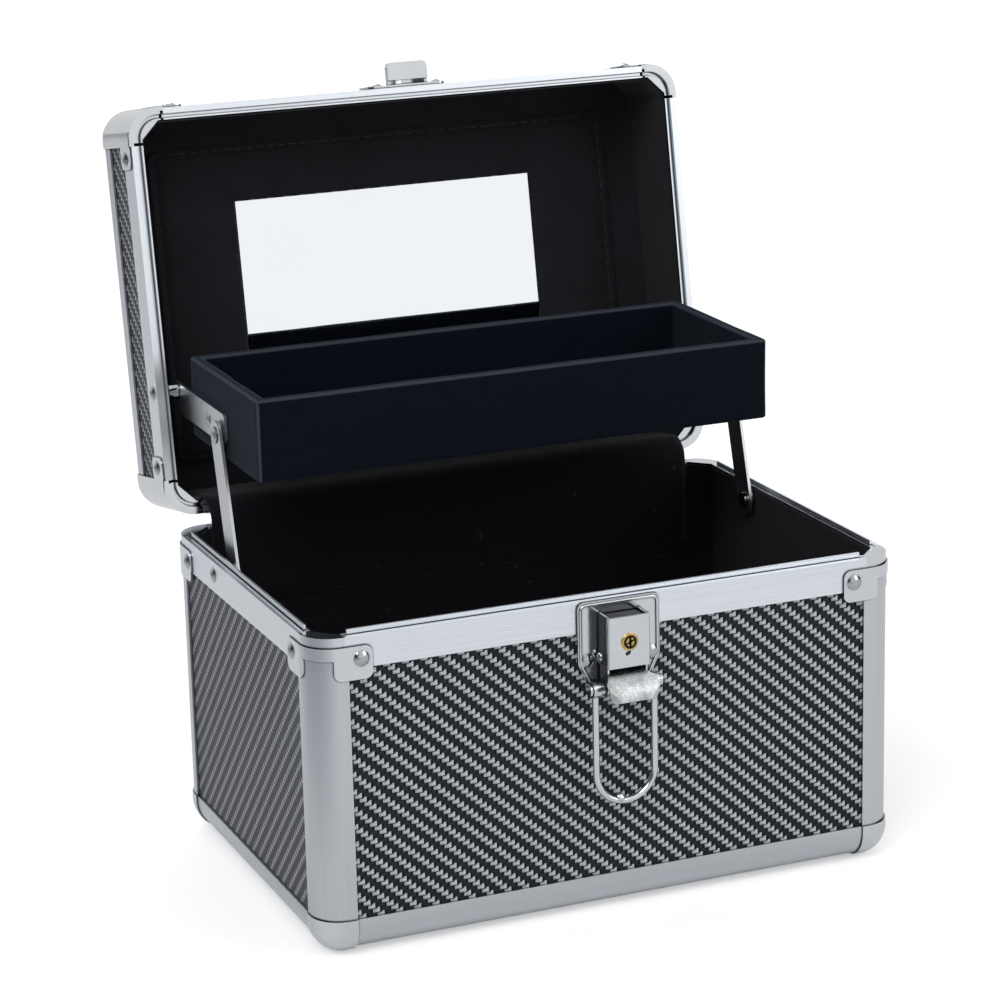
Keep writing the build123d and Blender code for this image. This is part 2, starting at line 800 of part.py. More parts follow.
# ---------------------------------------------------------------- lid: frame
lid_rims = {
    "front": (0, lid_front, north, rail_x_length),
    "back": (0, lid_back, south, rail_x_length),
    "left": (-half_width, lid_middle, east, rail_y_length),
    "right": (half_width, lid_middle, west, rail_y_length),
}
lid_rivet_sites = {
    "front": [(-rivet_x, lid_front), (rivet_x, lid_front)],
    "back": [(-rivet_x, lid_back), (rivet_x, lid_back)],
    "left": [(-half_width, lid_middle - rivet_y), (-half_width, lid_middle + rivet_y)],
    "right": [(half_width, lid_middle - rivet_y), (half_width, lid_middle + rivet_y)],
}
# Where the tray bar's stud meets the lid, from the hinge axis of the closed lid.
lid_stud_y = arm_reach_back * cos(opened) - arm_rise * sin(opened)
lid_stud_z = arm_reach_back * sin(opened) + arm_rise * cos(opened)
catch_rivet_x = [latch_x - catch_rivet_spacing / 2, latch_x + catch_rivet_spacing / 2]
catch_rivet_z = lid_rivet_above_parting
catch_face = lid_front - latch_sheet
groove_back = lid_groove_from_face + lid_groove_width
lid_slot = lid_rim_height - slot_depth
for name, (x, y, inward, length) in lid_rims.items():
    with BuildPart() as lid_rim:
        with BuildSketch(on_lid(section_plane((x, y, 0), inward, up))):
            with BuildLine():
                Polyline(
                    (0, lid_bottom),
                    (lid_groove_from_face, lid_bottom),
                    (lid_groove_from_face, lid_groove_depth),
                    (groove_back, lid_groove_depth),
                    (groove_back, lid_bottom),
                    (rim_width, lid_bottom),
                    (rim_width, lid_rim_height),
                    (panel_inner, lid_rim_height),
                    (panel_inner, lid_slot),
                    (profile_wall, lid_slot),
                    (profile_wall, lid_rim_height),
                    (0, lid_rim_height),
                    close=True,
                )
            make_face()
        extrude(amount=length / 2, both=True)
        for site_x, site_y in lid_rivet_sites[name]:
            site = facing((site_x, site_y, lid_rivet_above_parting), outward[name])
            bore(on_lid(site), rivet_hole, rim_width)
        if name == "front":
            for site_x in catch_rivet_x:
                site = facing((site_x, lid_front, catch_rivet_z), south)
                bore(on_lid(site), rivet_hole, rim_width)
        if name in ("left", "right"):
            site = facing((x, lid_stud_y, lid_stud_z), outward[name])
            bore(on_lid(site), rivet_hole, rim_width)
    save(lid_rim, f"lid_rim_{name}")
    edge_plane = on_lid(section_plane((x, y, lid_height), inward, down))
    save(profile_run(edge_plane, lid_edge_radius, length), f"lid_top_edge_{name}")

lid_rivet_planes = []
for plane in corner_rivet_planes(lid_rivet_above_parting):
    centre = plane.origin
    shifted = Plane(
        origin=(centre.X, centre.Y + lid_middle, centre.Z), x_dir=plane.x_dir, z_dir=plane.z_dir
    )
    lid_rivet_planes.append(on_lid(shifted))

# Four pressed corners of the lid, cut from one rounded shell
with BuildPart() as lid_corners:
    with BuildSketch(lid_frame.offset(lid_bottom)):
        with Locations((0, lid_middle)):
            RectangleRounded(
                case_width + 2 * corner_proud, case_depth + 2 * corner_proud, profile_radius
            )
    extrude(amount=lid_height + corner_proud - lid_bottom)
    cap_top = lid_corners.faces().sort_by(Axis(lid_frame.origin, lid_frame.z_dir))[-1]
    fillet(cap_top.edges(), lid_edge_radius)
    cap_foot = lid_corners.faces().sort_by(Axis(lid_frame.origin, lid_frame.z_dir))[0]
    offset(amount=-corner_sheet, openings=cap_foot)
    with BuildSketch(lid_frame.offset(lid_bottom)):
        solid_corners(lid_middle)
    extrude(amount=lid_rim_height - lid_bottom)
    with BuildSketch(lid_frame.offset(lid_slot)):
        board_outlines(lid_middle)
    extrude(amount=lid_height - panel_edge - lid_slot, mode=Mode.SUBTRACT)
    with BuildSketch(lid_frame):
        with Locations((0, lid_middle)):
            Rectangle(2 * case_width, rail_y_length)
            Rectangle(rail_x_length, 2 * case_depth)
    extrude(amount=2 * lid_height, mode=Mode.SUBTRACT)
    with BuildSketch(lid_frame):
        rounded_ring(lid_middle, -lid_groove_from_face, groove_back)
    extrude(amount=lid_groove_depth, mode=Mode.SUBTRACT)
    add(corner_tabs(lid_frame, lid_middle, lid_tab_above_parting))
    for plane in lid_rivet_planes:
        bore(plane, rivet_hole, tab_sheet)
save(lid_corners, "lid_corners")

# ---------------------------------------------------------------- lid: panels, lining and mirror
lid_panel_bottom = lid_slot
lid_panel_top = lid_height - panel_edge
lid_panel_middle = (lid_panel_bottom + lid_panel_top) / 2
lid_panel_height = lid_panel_top - lid_panel_bottom

lid_front_face = on_lid(facing((0, lid_front + profile_wall, lid_panel_middle), south))
save(board(lid_front_face, panel_x, lid_panel_height), "lid_front_panel")
lid_back_face = on_lid(facing((0, lid_back - profile_wall, lid_panel_middle), north))
lid_back_holes = [plane.offset(-hinge_leaf) for plane in lid_hinge_rivets]
save(board(lid_back_face, panel_x, lid_panel_height, lid_back_holes), "lid_back_panel")
lid_left_face = on_lid(facing((-half_width + profile_wall, lid_middle, lid_panel_middle), west))
save(board(lid_left_face, panel_y, lid_panel_height), "lid_left_panel")
lid_right_face = on_lid(facing((half_width - profile_wall, lid_middle, lid_panel_middle), east))
save(board(lid_right_face, panel_y, lid_panel_height), "lid_right_panel")

bracket_face = lid_height - profile_wall
bracket_x = [-handle_span / 2, handle_span / 2]
bracket_rivets = [
    on_lid(facing((x, lid_middle + side * bracket_depth / 3, bracket_face + bracket_sheet), up))
    for x in bracket_x
    for side in (-1, 1)
]
lid_top_face = on_lid(Plane(origin=(0, lid_middle, bracket_face), x_dir=east, z_dir=up))
lid_top_holes = [plane.offset(-bracket_sheet) for plane in bracket_rivets]
save(board(lid_top_face, panel_x, panel_y, lid_top_holes), "lid_top_panel")

lid_lining_bottom = lining_below_parting
lid_lining_top = lid_height - rim_width
pad_front = lid_lining_top - lining_thickness - pad_thickness
window_x = mirror_width + 2 * mirror_clearance
window_y = mirror_height + 2 * mirror_clearance
with BuildPart() as lid_lining:
    with BuildSketch(lid_frame.offset(lid_lining_bottom)):
        with Locations((0, lid_middle)):
            Rectangle(lining_x, lining_y)
    extrude(amount=lid_lining_top - lid_lining_bottom)
    depth_axis = Axis(lid_frame.origin, lid_frame.z_dir)
    chamfer(lid_lining.edges().filter_by(depth_axis), web_chamfer)
    chamfer(lid_lining.faces().sort_by(depth_axis)[-1].edges(), web_chamfer)
    offset(amount=-lining_thickness, openings=lid_lining.faces().sort_by(depth_axis)[0])
    with BuildSketch(lid_frame.offset(pad_front)):
        with Locations((0, lid_middle)):
            Rectangle(lining_x - 2 * pad_margin, lining_y - 2 * pad_margin)
    extrude(amount=pad_thickness)
    with BuildSketch(lid_frame.offset(pad_front)):
        with Locations((0, lid_middle)):
            Rectangle(window_x, window_y)
    extrude(amount=2 * pad_thickness, mode=Mode.SUBTRACT)
    for side in (west, east):
        site = on_lid(facing((side[0] * half_width, lid_stud_y, lid_stud_z), side))
        bore(site, rivet_hole, rim_width + 2 * lining_thickness)
save(lid_lining, "lid_lining")

mirror_back = lid_height - panel_inner
with BuildPart() as mirror_glass:
    with BuildSketch(lid_frame.offset(mirror_back - mirror_thickness)):
        with Locations((0, lid_middle)):
            Rectangle(mirror_width, mirror_height)
    extrude(amount=mirror_thickness)
save(mirror_glass, "mirror")

# ---------------------------------------------------------------- lid: catch
arc_above_parting = bail_drop - bail_half_width - latch_pin_below_parting
wire_seat = bail_half_width - bail_wire - hook_slack
with BuildPart() as hook_cup:
    with BuildSketch(lid_frame.offset(hook_above_parting)):
        with Locations((latch_x, catch_face - hook_reach / 2)):
            Rectangle(hook_width, hook_reach)
    extrude(amount=bail_drop)
    fillet(
        hook_cup.edges().filter_by(Axis(lid_frame.origin, lid_frame.z_dir)).sort_by(Axis.Z)[-2:],
        hook_corner_radius,
    )
    with BuildSketch(on_lid(facing((latch_x, catch_face, arc_above_parting), south))):
        Circle(wire_seat)
    extrude(amount=hook_reach, both=True, mode=Mode.INTERSECT)
    cup_back = hook_cup.faces().sort_by(Axis(lid_frame.origin, lid_frame.y_dir))[-1]
    offset(amount=-latch_sheet, openings=cup_back)
    with BuildSketch(lid_frame.offset(hook_above_parting)):
        with Locations((latch_x, catch_face - hook_mouth / 2)):
            Rectangle(hook_width, hook_mouth)
    extrude(amount=latch_sheet, mode=Mode.SUBTRACT)
with BuildPart() as lid_catch:
    with BuildSketch(on_lid(facing((latch_x, lid_front, catch_plate_above_parting), south))) as plate:
        with Locations((0, catch_plate_height / 2)):
            Rectangle(catch_plate_width, catch_plate_height)
        fillet(plate.vertices(), latch_plate_radius)
    extrude(amount=latch_sheet)
    add(hook_cup.part)
    for site_x in catch_rivet_x:
        site = facing((site_x, catch_face, catch_rivet_z), south)
        bore(on_lid(site), rivet_hole, latch_sheet)
save(lid_catch, "lid_catch")

with BuildPart() as lid_rivets:
    for plane in lid_rivet_planes:
        rivet(plane, tab_sheet + rim_width)
    for site_x in catch_rivet_x:
        rivet(on_lid(facing((site_x, catch_face, catch_rivet_z), south)), latch_sheet + rim_width)
    for plane in lid_hinge_rivets:
        rivet(plane, hinge_grip)
    for plane in bracket_rivets:
        rivet(plane, bracket_sheet + panel_thickness)
save(lid_rivets, "lid_rivets")

# ---------------------------------------------------------------- lid: handle
pivot_level = bracket_face + handle_pivot_height
ear_inner = handle_span / 2 - bracket_ear / 2
grip_outer = ear_inner - handle_side_gap
with BuildPart() as handle_brackets:
    for side in (-1, 1):
        with BuildSketch(lid_frame.offset(bracket_face)):
            with Locations((side * handle_span / 2, lid_middle)):
                Rectangle(bracket_width, bracket_depth)
        extrude(amount=bracket_sheet)
        with BuildSketch(on_lid(Plane.YZ.offset(side * handle_span / 2))):
            with Locations((lid_middle, pivot_level)):
                Circle(2 * handle_pin)
            with Locations((lid_middle, bracket_face + handle_pivot_height / 2)):
                Rectangle(4 * handle_pin, handle_pivot_height)
        extrude(amount=bracket_ear / 2, both=True)
        stub = on_lid(Plane(origin=(0, lid_middle, pivot_level), x_dir=north, z_dir=(side, 0, 0)))
        disc(stub, grip_outer - grip_bar, ear_inner, handle_pin)
    for plane in bracket_rivets:
        bore(plane, rivet_hole, bracket_sheet)
save(handle_brackets, "handle_brackets")

handle_axis = lid_frame.from_local_coords((0, lid_middle, pivot_level))
grip_plane = Plane(origin=handle_axis, x_dir=east, z_dir=south)
grip_leg = grip_outer - grip_bar / 2
with BuildPart() as handle_grip:
    with BuildSketch(grip_plane):
        with BuildLine():
            FilletPolyline(
                (-grip_leg, grip_bar / 2),
                (-grip_leg, -grip_drop),
                (grip_leg, -grip_drop),
                (grip_leg, grip_bar / 2),
                radius=grip_bend,
            )
        trace(line_width=grip_bar)
    extrude(amount=grip_thickness / 2, both=True)
    long_edges = handle_grip.edges().filter_by(
        lambda edge: abs(abs(edge.center().Y - handle_axis.Y) - grip_thickness / 2) < 0.01
    )
    fillet(long_edges, grip_thickness / 3)
    pivot = Plane(origin=handle_axis, x_dir=north, z_dir=east)
    bore(pivot.offset(case_width), handle_pin + running_clearance, 2 * case_width)
save(handle_grip, "handle_grip")

# ---------------------------------------------------------------- arms, bars and tray
tray_pivot_y = arm_pivot_y + arm_reach_back
tray_pivot_z = stud_z + arm_rise
lid_stud_world_y = hinge_y + arm_reach_back
lid_stud_world_z = parting_height + arm_rise
arm_length = hypot(arm_reach_back, arm_rise)
lining_inner_x = half_width - rim_width - lining_thickness
arm_outer_x = lining_inner_x - arm_to_lining
arm_inner_x = arm_outer_x - arm_thickness
bar_outer_x = arm_inner_x - arm_to_bar
bar_inner_x = bar_outer_x - bar_thickness
tray_width = 2 * (bar_inner_x - bar_to_tray)
pin_radius = rivet_shank
pin_bore = pin_radius + running_clearance
along_arm = Vector(0, arm_reach_back, arm_rise).normalized()

for name, side in (("left", -1), ("right", 1)):
    arm_plane = Plane(
        origin=(side * arm_inner_x, arm_pivot_y, stud_z), x_dir=along_arm, z_dir=(side, 0, 0)
    )
    with BuildPart() as lift_arm:
        with BuildSketch(arm_plane):
            with Locations((arm_length / 2, 0)):
                SlotCenterToCenter(arm_length, arm_width)
            with Locations((0, 0), (arm_length, 0)):
                Circle(pin_bore, mode=Mode.SUBTRACT)
        extrude(amount=arm_thickness)
    save(lift_arm, f"lift_arm_{name}")

bar_middle_z = tray_pivot_z + bar_above_pivot
bar_front_y = tray_pivot_y - bar_nose
bar_back_y = lid_stud_world_y + bar_tail
for name, side in (("left", -1), ("right", 1)):
    with BuildPart() as tray_bar:
        with BuildSketch(Plane.YZ.offset(side * bar_inner_x)):
            with Locations(((bar_front_y + bar_back_y) / 2, bar_middle_z)):
                RectangleRounded(bar_back_y - bar_front_y, bar_height, bar_end_radius)
            with Locations((tray_pivot_y, tray_pivot_z)):
                Circle(pin_radius, mode=Mode.SUBTRACT)
            with Locations((tray_pivot_y + tray_rivet_behind_pivot, bar_middle_z)):
                Circle(pin_radius, mode=Mode.SUBTRACT)
            with Locations((lid_stud_world_y, lid_stud_world_z)):
                Circle(pin_radius + open_pivot_clearance, mode=Mode.SUBTRACT)
        extrude(amount=side * bar_thickness)
    save(tray_bar, f"tray_bar_{name}")

tray_front_y = tray_pivot_y - tray_front_from_pivot
tray_bottom = tray_pivot_z - tray_below_pivot
with BuildPart() as tray_shell:
    with BuildSketch(Plane.XY.offset(tray_bottom)):
        with Locations((0, tray_front_y + tray_depth / 2)):
            RectangleRounded(tray_width, tray_depth, tray_corner_radius)
    extrude(amount=tray_height)
    with BuildSketch(Plane.XY.offset(tray_bottom + tray_floor)):
        with Locations((0, tray_front_y + tray_depth / 2)):
            Rectangle(tray_width - 2 * tray_wall, tray_depth - 2 * tray_wall)
    extrude(amount=tray_height, mode=Mode.SUBTRACT)
    for side in (-1, 1):
        for y, z in (
            (tray_pivot_y, tray_pivot_z),
            (tray_pivot_y + tray_rivet_behind_pivot, bar_middle_z),
        ):
            bore(facing((side * tray_width / 2, y, z), (side, 0, 0)), pin_radius, tray_wall)
save(tray_shell, "tray_shell")

# Pivot pins of the arms in the tray, and the rivets behind them
with BuildPart() as tray_rivets:
    for side in (-1, 1):
        pivot = Plane(origin=(0, tray_pivot_y, tray_pivot_z), x_dir=north, z_dir=(side, 0, 0))
        head_start = arm_outer_x + running_clearance
        disc(pivot, tray_width / 2 - tray_wall, head_start, pin_radius)
        disc(pivot, tray_width / 2, bar_inner_x, stud_head)
        disc(pivot, bar_outer_x, arm_inner_x - running_clearance, stud_head)
        disc(pivot, head_start, head_start + stud_head_thickness / 2, stud_head)
        dome(pivot.offset(head_start + stud_head_thickness / 2), stud_head, stud_head_thickness)
        fixed = Plane(
            origin=(0, tray_pivot_y + tray_rivet_behind_pivot, bar_middle_z),
            x_dir=north,
            z_dir=(side, 0, 0),
        )
        disc(fixed, tray_width / 2 - tray_wall, bar_outer_x, pin_radius)
        disc(fixed, tray_width / 2, bar_inner_x, stud_head)
        dome(fixed.offset(bar_outer_x), rivet_head, stud_head_thickness)
save(tray_rivets, "tray_rivets")

# Studs on the base that the arms turn on
with BuildPart() as arm_pivot_studs:
    for side in (-1, 1):
        pivot = Plane(origin=(0, arm_pivot_y, stud_z), x_dir=north, z_dir=(side, 0, 0))
        inner_face = arm_inner_x - running_clearance
        disc(pivot, inner_face - stud_head_thickness, inner_face, stud_head)
        disc(pivot, inner_face, half_width, pin_radius)
        disc(pivot, arm_outer_x + running_clearance, lining_inner_x, spacer_radius)
        dome(pivot.offset(half_width), rivet_head, rivet_dome)
save(arm_pivot_studs, "arm_pivot_studs")

# Studs on the lid that pull the tray bars
with BuildPart() as tray_pivot_studs:
    for side in (-1, 1):
        pivot = Plane(
            origin=(0, lid_stud_world_y, lid_stud_world_z), x_dir=north, z_dir=(side, 0, 0)
        )
        inner_face = bar_inner_x - running_clearance
        disc(pivot, inner_face - stud_head_thickness, inner_face, stud_head)
        disc(pivot, inner_face, half_width, pin_radius)
        disc(pivot, bar_outer_x + running_clearance, lining_inner_x, spacer_radius)
        dome(pivot.offset(half_width), rivet_head, rivet_dome)
save(tray_pivot_studs, "tray_pivot_studs")

# ---------------------------------------------------------------- fabric strips at the hinge gap
flap_y = half_depth - rim_width - lining_thickness
flap_width = lining_x - 2 * flap_side_gap
with BuildPart() as hinge_flap_base:
    with BuildSketch(facing((0, flap_y, lining_top - flap_base_height / 2), south)):
        Rectangle(flap_width, flap_base_height)
    extrude(amount=flap_thickness)
save(hinge_flap_base, "hinge_flap_base")

lid_flap_y = flap_y - hinge_y
lid_flap_middle = lid_lining_bottom + flap_lid_height / 2
with BuildPart() as hinge_flap_lid:
    with BuildSketch(on_lid(facing((0, lid_flap_y, lid_flap_middle), south))):
        Rectangle(flap_width, flap_lid_height)
    extrude(amount=flap_thickness)
save(hinge_flap_lid, "hinge_flap_lid")
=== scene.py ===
# %% [markdown]
# # A makeup case that stands open
# The real case is a box of thin boards held in aluminium extrusions, with pressed chrome corners. The
# packed model already has each board, extrusion and rivet at its true size, so this lesson gives them
# their finishes and adds what a solid modeller makes badly: cloth, velvet, padding, stitches and beads.

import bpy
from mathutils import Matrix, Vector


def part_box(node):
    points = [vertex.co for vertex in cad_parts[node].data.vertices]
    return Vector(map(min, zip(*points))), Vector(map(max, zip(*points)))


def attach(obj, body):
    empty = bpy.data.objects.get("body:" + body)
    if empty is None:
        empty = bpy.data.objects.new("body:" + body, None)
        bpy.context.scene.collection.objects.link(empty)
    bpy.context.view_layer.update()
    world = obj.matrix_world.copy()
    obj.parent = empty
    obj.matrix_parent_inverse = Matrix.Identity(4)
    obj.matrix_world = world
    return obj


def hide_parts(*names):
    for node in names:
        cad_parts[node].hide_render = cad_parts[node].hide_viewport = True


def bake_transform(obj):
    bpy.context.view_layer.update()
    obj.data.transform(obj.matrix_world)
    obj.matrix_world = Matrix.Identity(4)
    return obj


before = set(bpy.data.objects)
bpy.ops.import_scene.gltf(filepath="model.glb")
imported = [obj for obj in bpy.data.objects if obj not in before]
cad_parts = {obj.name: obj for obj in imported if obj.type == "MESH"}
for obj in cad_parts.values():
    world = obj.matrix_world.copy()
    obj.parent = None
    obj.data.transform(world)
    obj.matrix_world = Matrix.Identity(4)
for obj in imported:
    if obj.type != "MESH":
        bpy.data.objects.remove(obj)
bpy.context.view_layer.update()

# %% [markdown]
# ## The tools
# Everything is in metres. The lid stands open by 100 degrees, and it is easier to shape things in it as
# if it were shut, so one matrix turns points of the shut lid to where the open lid is.

# %% Units and the lid's matrix
from math import cos, degrees, pi, radians, sin

import bmesh
import bpy
from mathutils import Matrix, Vector, noise

MM = 0.001
OPEN_ANGLE = radians(100)
HINGE = Vector((0, 89, 130)) * MM
AS_OPEN = Matrix.Translation(HINGE) @ Matrix.Rotation(-OPEN_ANGLE, 4, "X") @ Matrix.Translation(-HINGE)
AS_MADE = Matrix.Identity(4)
print("lid opened by", round(degrees(OPEN_ANGLE)), "degrees about", [round(x, 3) for x in HINGE])

# %% [markdown]
# A material is a formula over the surface. Wiring nodes by hand hides that formula, so one small class
# wraps a socket: operators on it add Math nodes, and `node` adds any other node. The alternative is a
# node editor screenshot in prose, which nobody can check.


# %% A socket that does sums
class Wire:
    """One socket of a material. Sums with it add Math nodes, and node() adds any other node."""

    def __init__(self, tree, socket=None):
        self.tree = tree
        self.socket = socket

    def node(self, kind, settings=None, inputs=None, out=0):
        """Adds a node: its settings first, then the values or links of its sockets."""
        made = self.tree.nodes.new("ShaderNode" + kind)
        for key, value in (settings or {}).items():
            setattr(made, key, value)
        for key, value in (inputs or {}).items():
            if isinstance(value, Wire):
                self.tree.links.new(value.socket, made.inputs[key])
            else:
                made.inputs[key].default_value = value
        return Wire(self.tree, made.outputs[out])

    def sum(self, operation, *terms):
        """Adds one Math node over the terms."""
        return self.node("Math", {"operation": operation}, dict(enumerate(terms)))

    def __add__(self, other):
        return self.sum("ADD", self, other)

    def __radd__(self, other):
        return self.sum("ADD", other, self)

    def __sub__(self, other):
        return self.sum("SUBTRACT", self, other)

    def __rsub__(self, other):
        return self.sum("SUBTRACT", other, self)

    def __mul__(self, other):
        return self.sum("MULTIPLY", self, other)

    def __rmul__(self, other):
        return self.sum("MULTIPLY", other, self)

    def __truediv__(self, other):
        return self.sum("DIVIDE", self, other)

    def __rtruediv__(self, other):
        return self.sum("DIVIDE", other, self)

    def __mod__(self, other):
        return self.sum("FLOORED_MODULO", self, other)

    def __lt__(self, other):
        return self.sum("LESS_THAN", self, other)

    def __gt__(self, other):
        return self.sum("GREATER_THAN", self, other)

    def __abs__(self):
        return self.sum("ABSOLUTE", self)

    def floor(self):
        return self.sum("FLOOR", self)

    def sine(self):
        return self.sum("SINE", self)

    def least(self, other):
        return self.sum("MINIMUM", self, other)

    def most(self, other):
        return self.sum("MAXIMUM", self, other)

    def clamped(self):
        return self.node("Clamp", None, {0: self})


print("sums wired:", [name for name in vars(Wire) if name.startswith("__") and "init" not in name][:4], "...")

# %% [markdown]
# Every finish needs to know where a point lies on the case. Object coordinates do that without any
# unwrapping: each mesh holds its true place. On the lid they are turned shut first, so that "up" always
# runs from the foot of the case to the top of its lid.


# %% Places, patches and colours
def place(wire, of_lid):
    """The point of the surface in the shut case, as a vector."""
    here = wire.node("TexCoord", out="Object")
    if not of_lid:
        return here
    turn = {"Vector": here, "Center": HINGE, "Angle": OPEN_ANGLE}
    return wire.node("VectorRotate", {"rotation_type": "X_AXIS"}, turn)


def split(vector):
    """The three numbers of a vector."""
    first = vector.node("SeparateXYZ", None, {0: vector})
    outputs = first.socket.node.outputs
    return [Wire(vector.tree, outputs[i]) for i in range(3)]


def grain(vector, per_metre, detail=2.0, roughness=0.5):
    """Noise from 0 to 1, with its own number of spots per metre along x, y and z."""
    scaled = vector.node("VectorMath", {"operation": "MULTIPLY"}, {0: vector, 1: per_metre})
    return vector.node(
        "TexNoise", None, {"Vector": scaled, "Scale": 1.0, "Detail": detail, "Roughness": roughness}, "Fac"
    )


def blend(dark, light, share):
    """Mixes two colours by a share from 0 to 1."""
    ends = {6: (*dark, 1) if isinstance(dark, tuple) else dark}
    ends[7] = (*light, 1) if isinstance(light, tuple) else light
    return share.node("Mix", {"data_type": "RGBA"}, {0: share, **ends}, 2)


def relief(height, depth_mm, strength=1.0):
    """Bump for the Normal socket, from a height of 0 to 1 that is depth_mm deep."""
    return height.node("Bump", None, {"Height": height, "Distance": depth_mm * MM, "Strength": strength})


# colours of painted shade, which the creases between pieces darken to
CREASE_SHADE_GREY = (0.05, 0.052, 0.06)
CREASE_SHADE_BLACK = (0.02, 0.021, 0.026)


def crease_light_share(wire, reach_mm=0.9, bite=2.4):
    """1 on open surfaces, and less in the creases between pieces, where shade is painted into the colour."""
    open_share = wire.node("AmbientOcclusion", {"samples": 6}, {"Distance": reach_mm * MM}, "AO")
    return ((open_share - (1 - 1 / bite)) * bite).clamped()


def finish(name, recipe):
    """A material whose recipe returns what goes into each socket of its shader."""
    material = bpy.data.materials.new(name)
    material.use_nodes = True
    tree = material.node_tree
    shader = next(n for n in tree.nodes if n.type == "BSDF_PRINCIPLED")
    for socket, value in recipe(Wire(tree)).items():
        if isinstance(value, Wire):
            tree.links.new(value.socket, shader.inputs[socket])
        else:
            shader.inputs[socket].default_value = (*value, 1) if isinstance(value, tuple) else value
    return material


print("finishes are ready to be written")

# %% [markdown]
# ## Aluminium
# Extrusions come out of their die with fine lines along their whole length, and the satin anodising
# leaves them soft grey. A flat grey metal would look cast. Noise that is stretched along the profile
# gives the lines, in colour, in roughness and as a very shallow relief. The rims also have rolled ribs,
# whose spacing is given in millimetres.


# %% Satin profiles
def aluminium(name, along, of_lid=False, tone=0.58, rib=0.0):
    """Brushed aluminium whose lines run along one axis of the shut case."""

    def recipe(wire):
        here = place(wire, of_lid)
        lines = [2300.0] * 3
        lines["xyz".index(along)] = 14.0
        brushed = grain(here, lines, 3.0, 0.6)
        handled = grain(here, [26.0] * 3, 3.0)
        height = brushed * 0.25
        if rib:
            height = height + (split(here)[2] * (2 * pi / (rib * MM))).sine()
        dark = (tone * 0.86, tone * 0.90, tone * 0.95)
        light = (tone * 1.05, tone * 1.11, tone * 1.17)
        return {
            # creases between pieces darken to painted shade
            "Base Color": blend(CREASE_SHADE_GREY, blend(dark, light, brushed), crease_light_share(wire)),
            "Metallic": 1.0,
            "Roughness": 0.24 + brushed * 0.10 + handled * 0.08,
            "Normal": relief(height, 0.02),
        }

    return finish(name, recipe)


brushed_along = {
    (axis, lid): aluminium(f"aluminium_{axis}_{'lid' if lid else 'base'}", axis, lid)
    for axis in "xyz"
    for lid in (False, True)
}
# the rims' tone of 0.78, above the 0.58 of the other profiles, is a painted highlight for the light their
# ribs catch from above
ribbed_along = {
    (axis, lid): aluminium(f"ribbed_rim_{axis}_{'lid' if lid else 'base'}", axis, lid, 0.78, 1.15)
    for axis in "xy"
    for lid in (False, True)
}
print(len(brushed_along) + len(ribbed_along), "aluminium finishes")

# %% [markdown]
# ## Chrome and nickel
# The corners, latch and rivets are plated steel. Plating is smooth but never perfect: it has a faint
# orange peel, finger marks that dull it in patches and short handling scratches. Roughness carries most
# of that, because the colour of chrome hardly changes. Shade is painted into the colour in the creases
# between pieces, where the Ambient Occlusion node finds them in the shape itself. The lock's sides are
# painted near black behind its plated front, a painted dark reflection, and thumbs have worn the plating
# of its lever dull.


# %% Plated steel
def plated(name, tone, smooth, dull, of_lid=False):
    """Plated metal from smooth where it is clean to dull where it was handled."""

    def recipe(wire):
        here = place(wire, of_lid)
        handled = grain(here, [70.0] * 3, 4.0, 0.65)
        peel = grain(here, [420.0] * 3, 1.0)
        hairline = grain(here, [90.0, 2600.0, 2600.0], 2.0)
        worn = (hairline > 0.68) * 0.10
        dark = (tone * 0.86, tone * 0.89, tone * 0.92)
        light = (tone * 0.97, tone * 1.01, tone * 1.05)
        return {
            # creases between pieces darken to painted shade
            "Base Color": blend(CREASE_SHADE_BLACK, blend(dark, light, handled), crease_light_share(wire)),
            "Metallic": 1.0,
            "Roughness": smooth + (dull - smooth) * handled + worn,
            "Normal": relief(peel, 0.012),
        }

    return finish(name, recipe)


chrome = plated("chrome_plate", 0.69, 0.09, 0.20)
chrome_of_lid = plated("chrome_plate_lid", 0.665, 0.09, 0.20, True)
nickel = plated("nickel_rivet", 0.47, 0.07, 0.18)
strip_steel = plated("nickel_strip", 0.60, 0.24, 0.38)
print("plated finishes:", chrome.name, chrome_of_lid.name, nickel.name, strip_steel.name)


# %% Lock and lever
LATCH_X = 1.2 * MM
LOCK_FRONT = -96.2 * MM
LOCK_SIDE = 8.5 * MM


def lock_recipe(wire):
    """Chrome on the stamped front of the lock; behind its folded edge, a painted dark line and near-black
    sides, a painted dark reflection with an oily mottle.
    """
    here = place(wire, False)
    x, y, _ = split(here)
    handled = grain(here, [70.0] * 3, 4.0, 0.65)
    oiled = grain(here, [900.0, 900.0, 160.0], 4.0, 0.7)
    # the sides behind the fold are painted near black, a painted dark reflection, and a thin painted dark
    # line marks the fold
    side = abs(x - LATCH_X) > LOCK_SIDE
    edge = side * (y > LOCK_FRONT + 1.5 * MM)
    flank = side * (y > LOCK_FRONT + 1.9 * MM)
    plating = blend((0.58, 0.61, 0.64), (0.68, 0.72, 0.75), handled)
    painted_dark_side = blend((0.010, 0.011, 0.014), (0.10, 0.105, 0.115), (oiled - 0.35) * 2.2)
    return {
        "Base Color": blend(blend(plating, (0.02, 0.02, 0.025), edge), painted_dark_side, flank),
        "Metallic": 1.0,
        "Roughness": 0.12 + handled * 0.12 + flank * 0.25,
        "Normal": relief(oiled * flank, 0.03),
    }


def shade_black_recipe(wire):
    """Near-black metal with an oily mottle, painted as dark as the shade in and under the lock."""
    oiled = grain(place(wire, False), [700.0] * 3, 4.0, 0.7)
    return {
        "Base Color": blend((0.006, 0.0065, 0.009), (0.045, 0.047, 0.055), oiled),
        "Metallic": 0.6,
        "Roughness": 0.34 + oiled * 0.3,
        "Normal": relief(oiled, 0.02),
    }


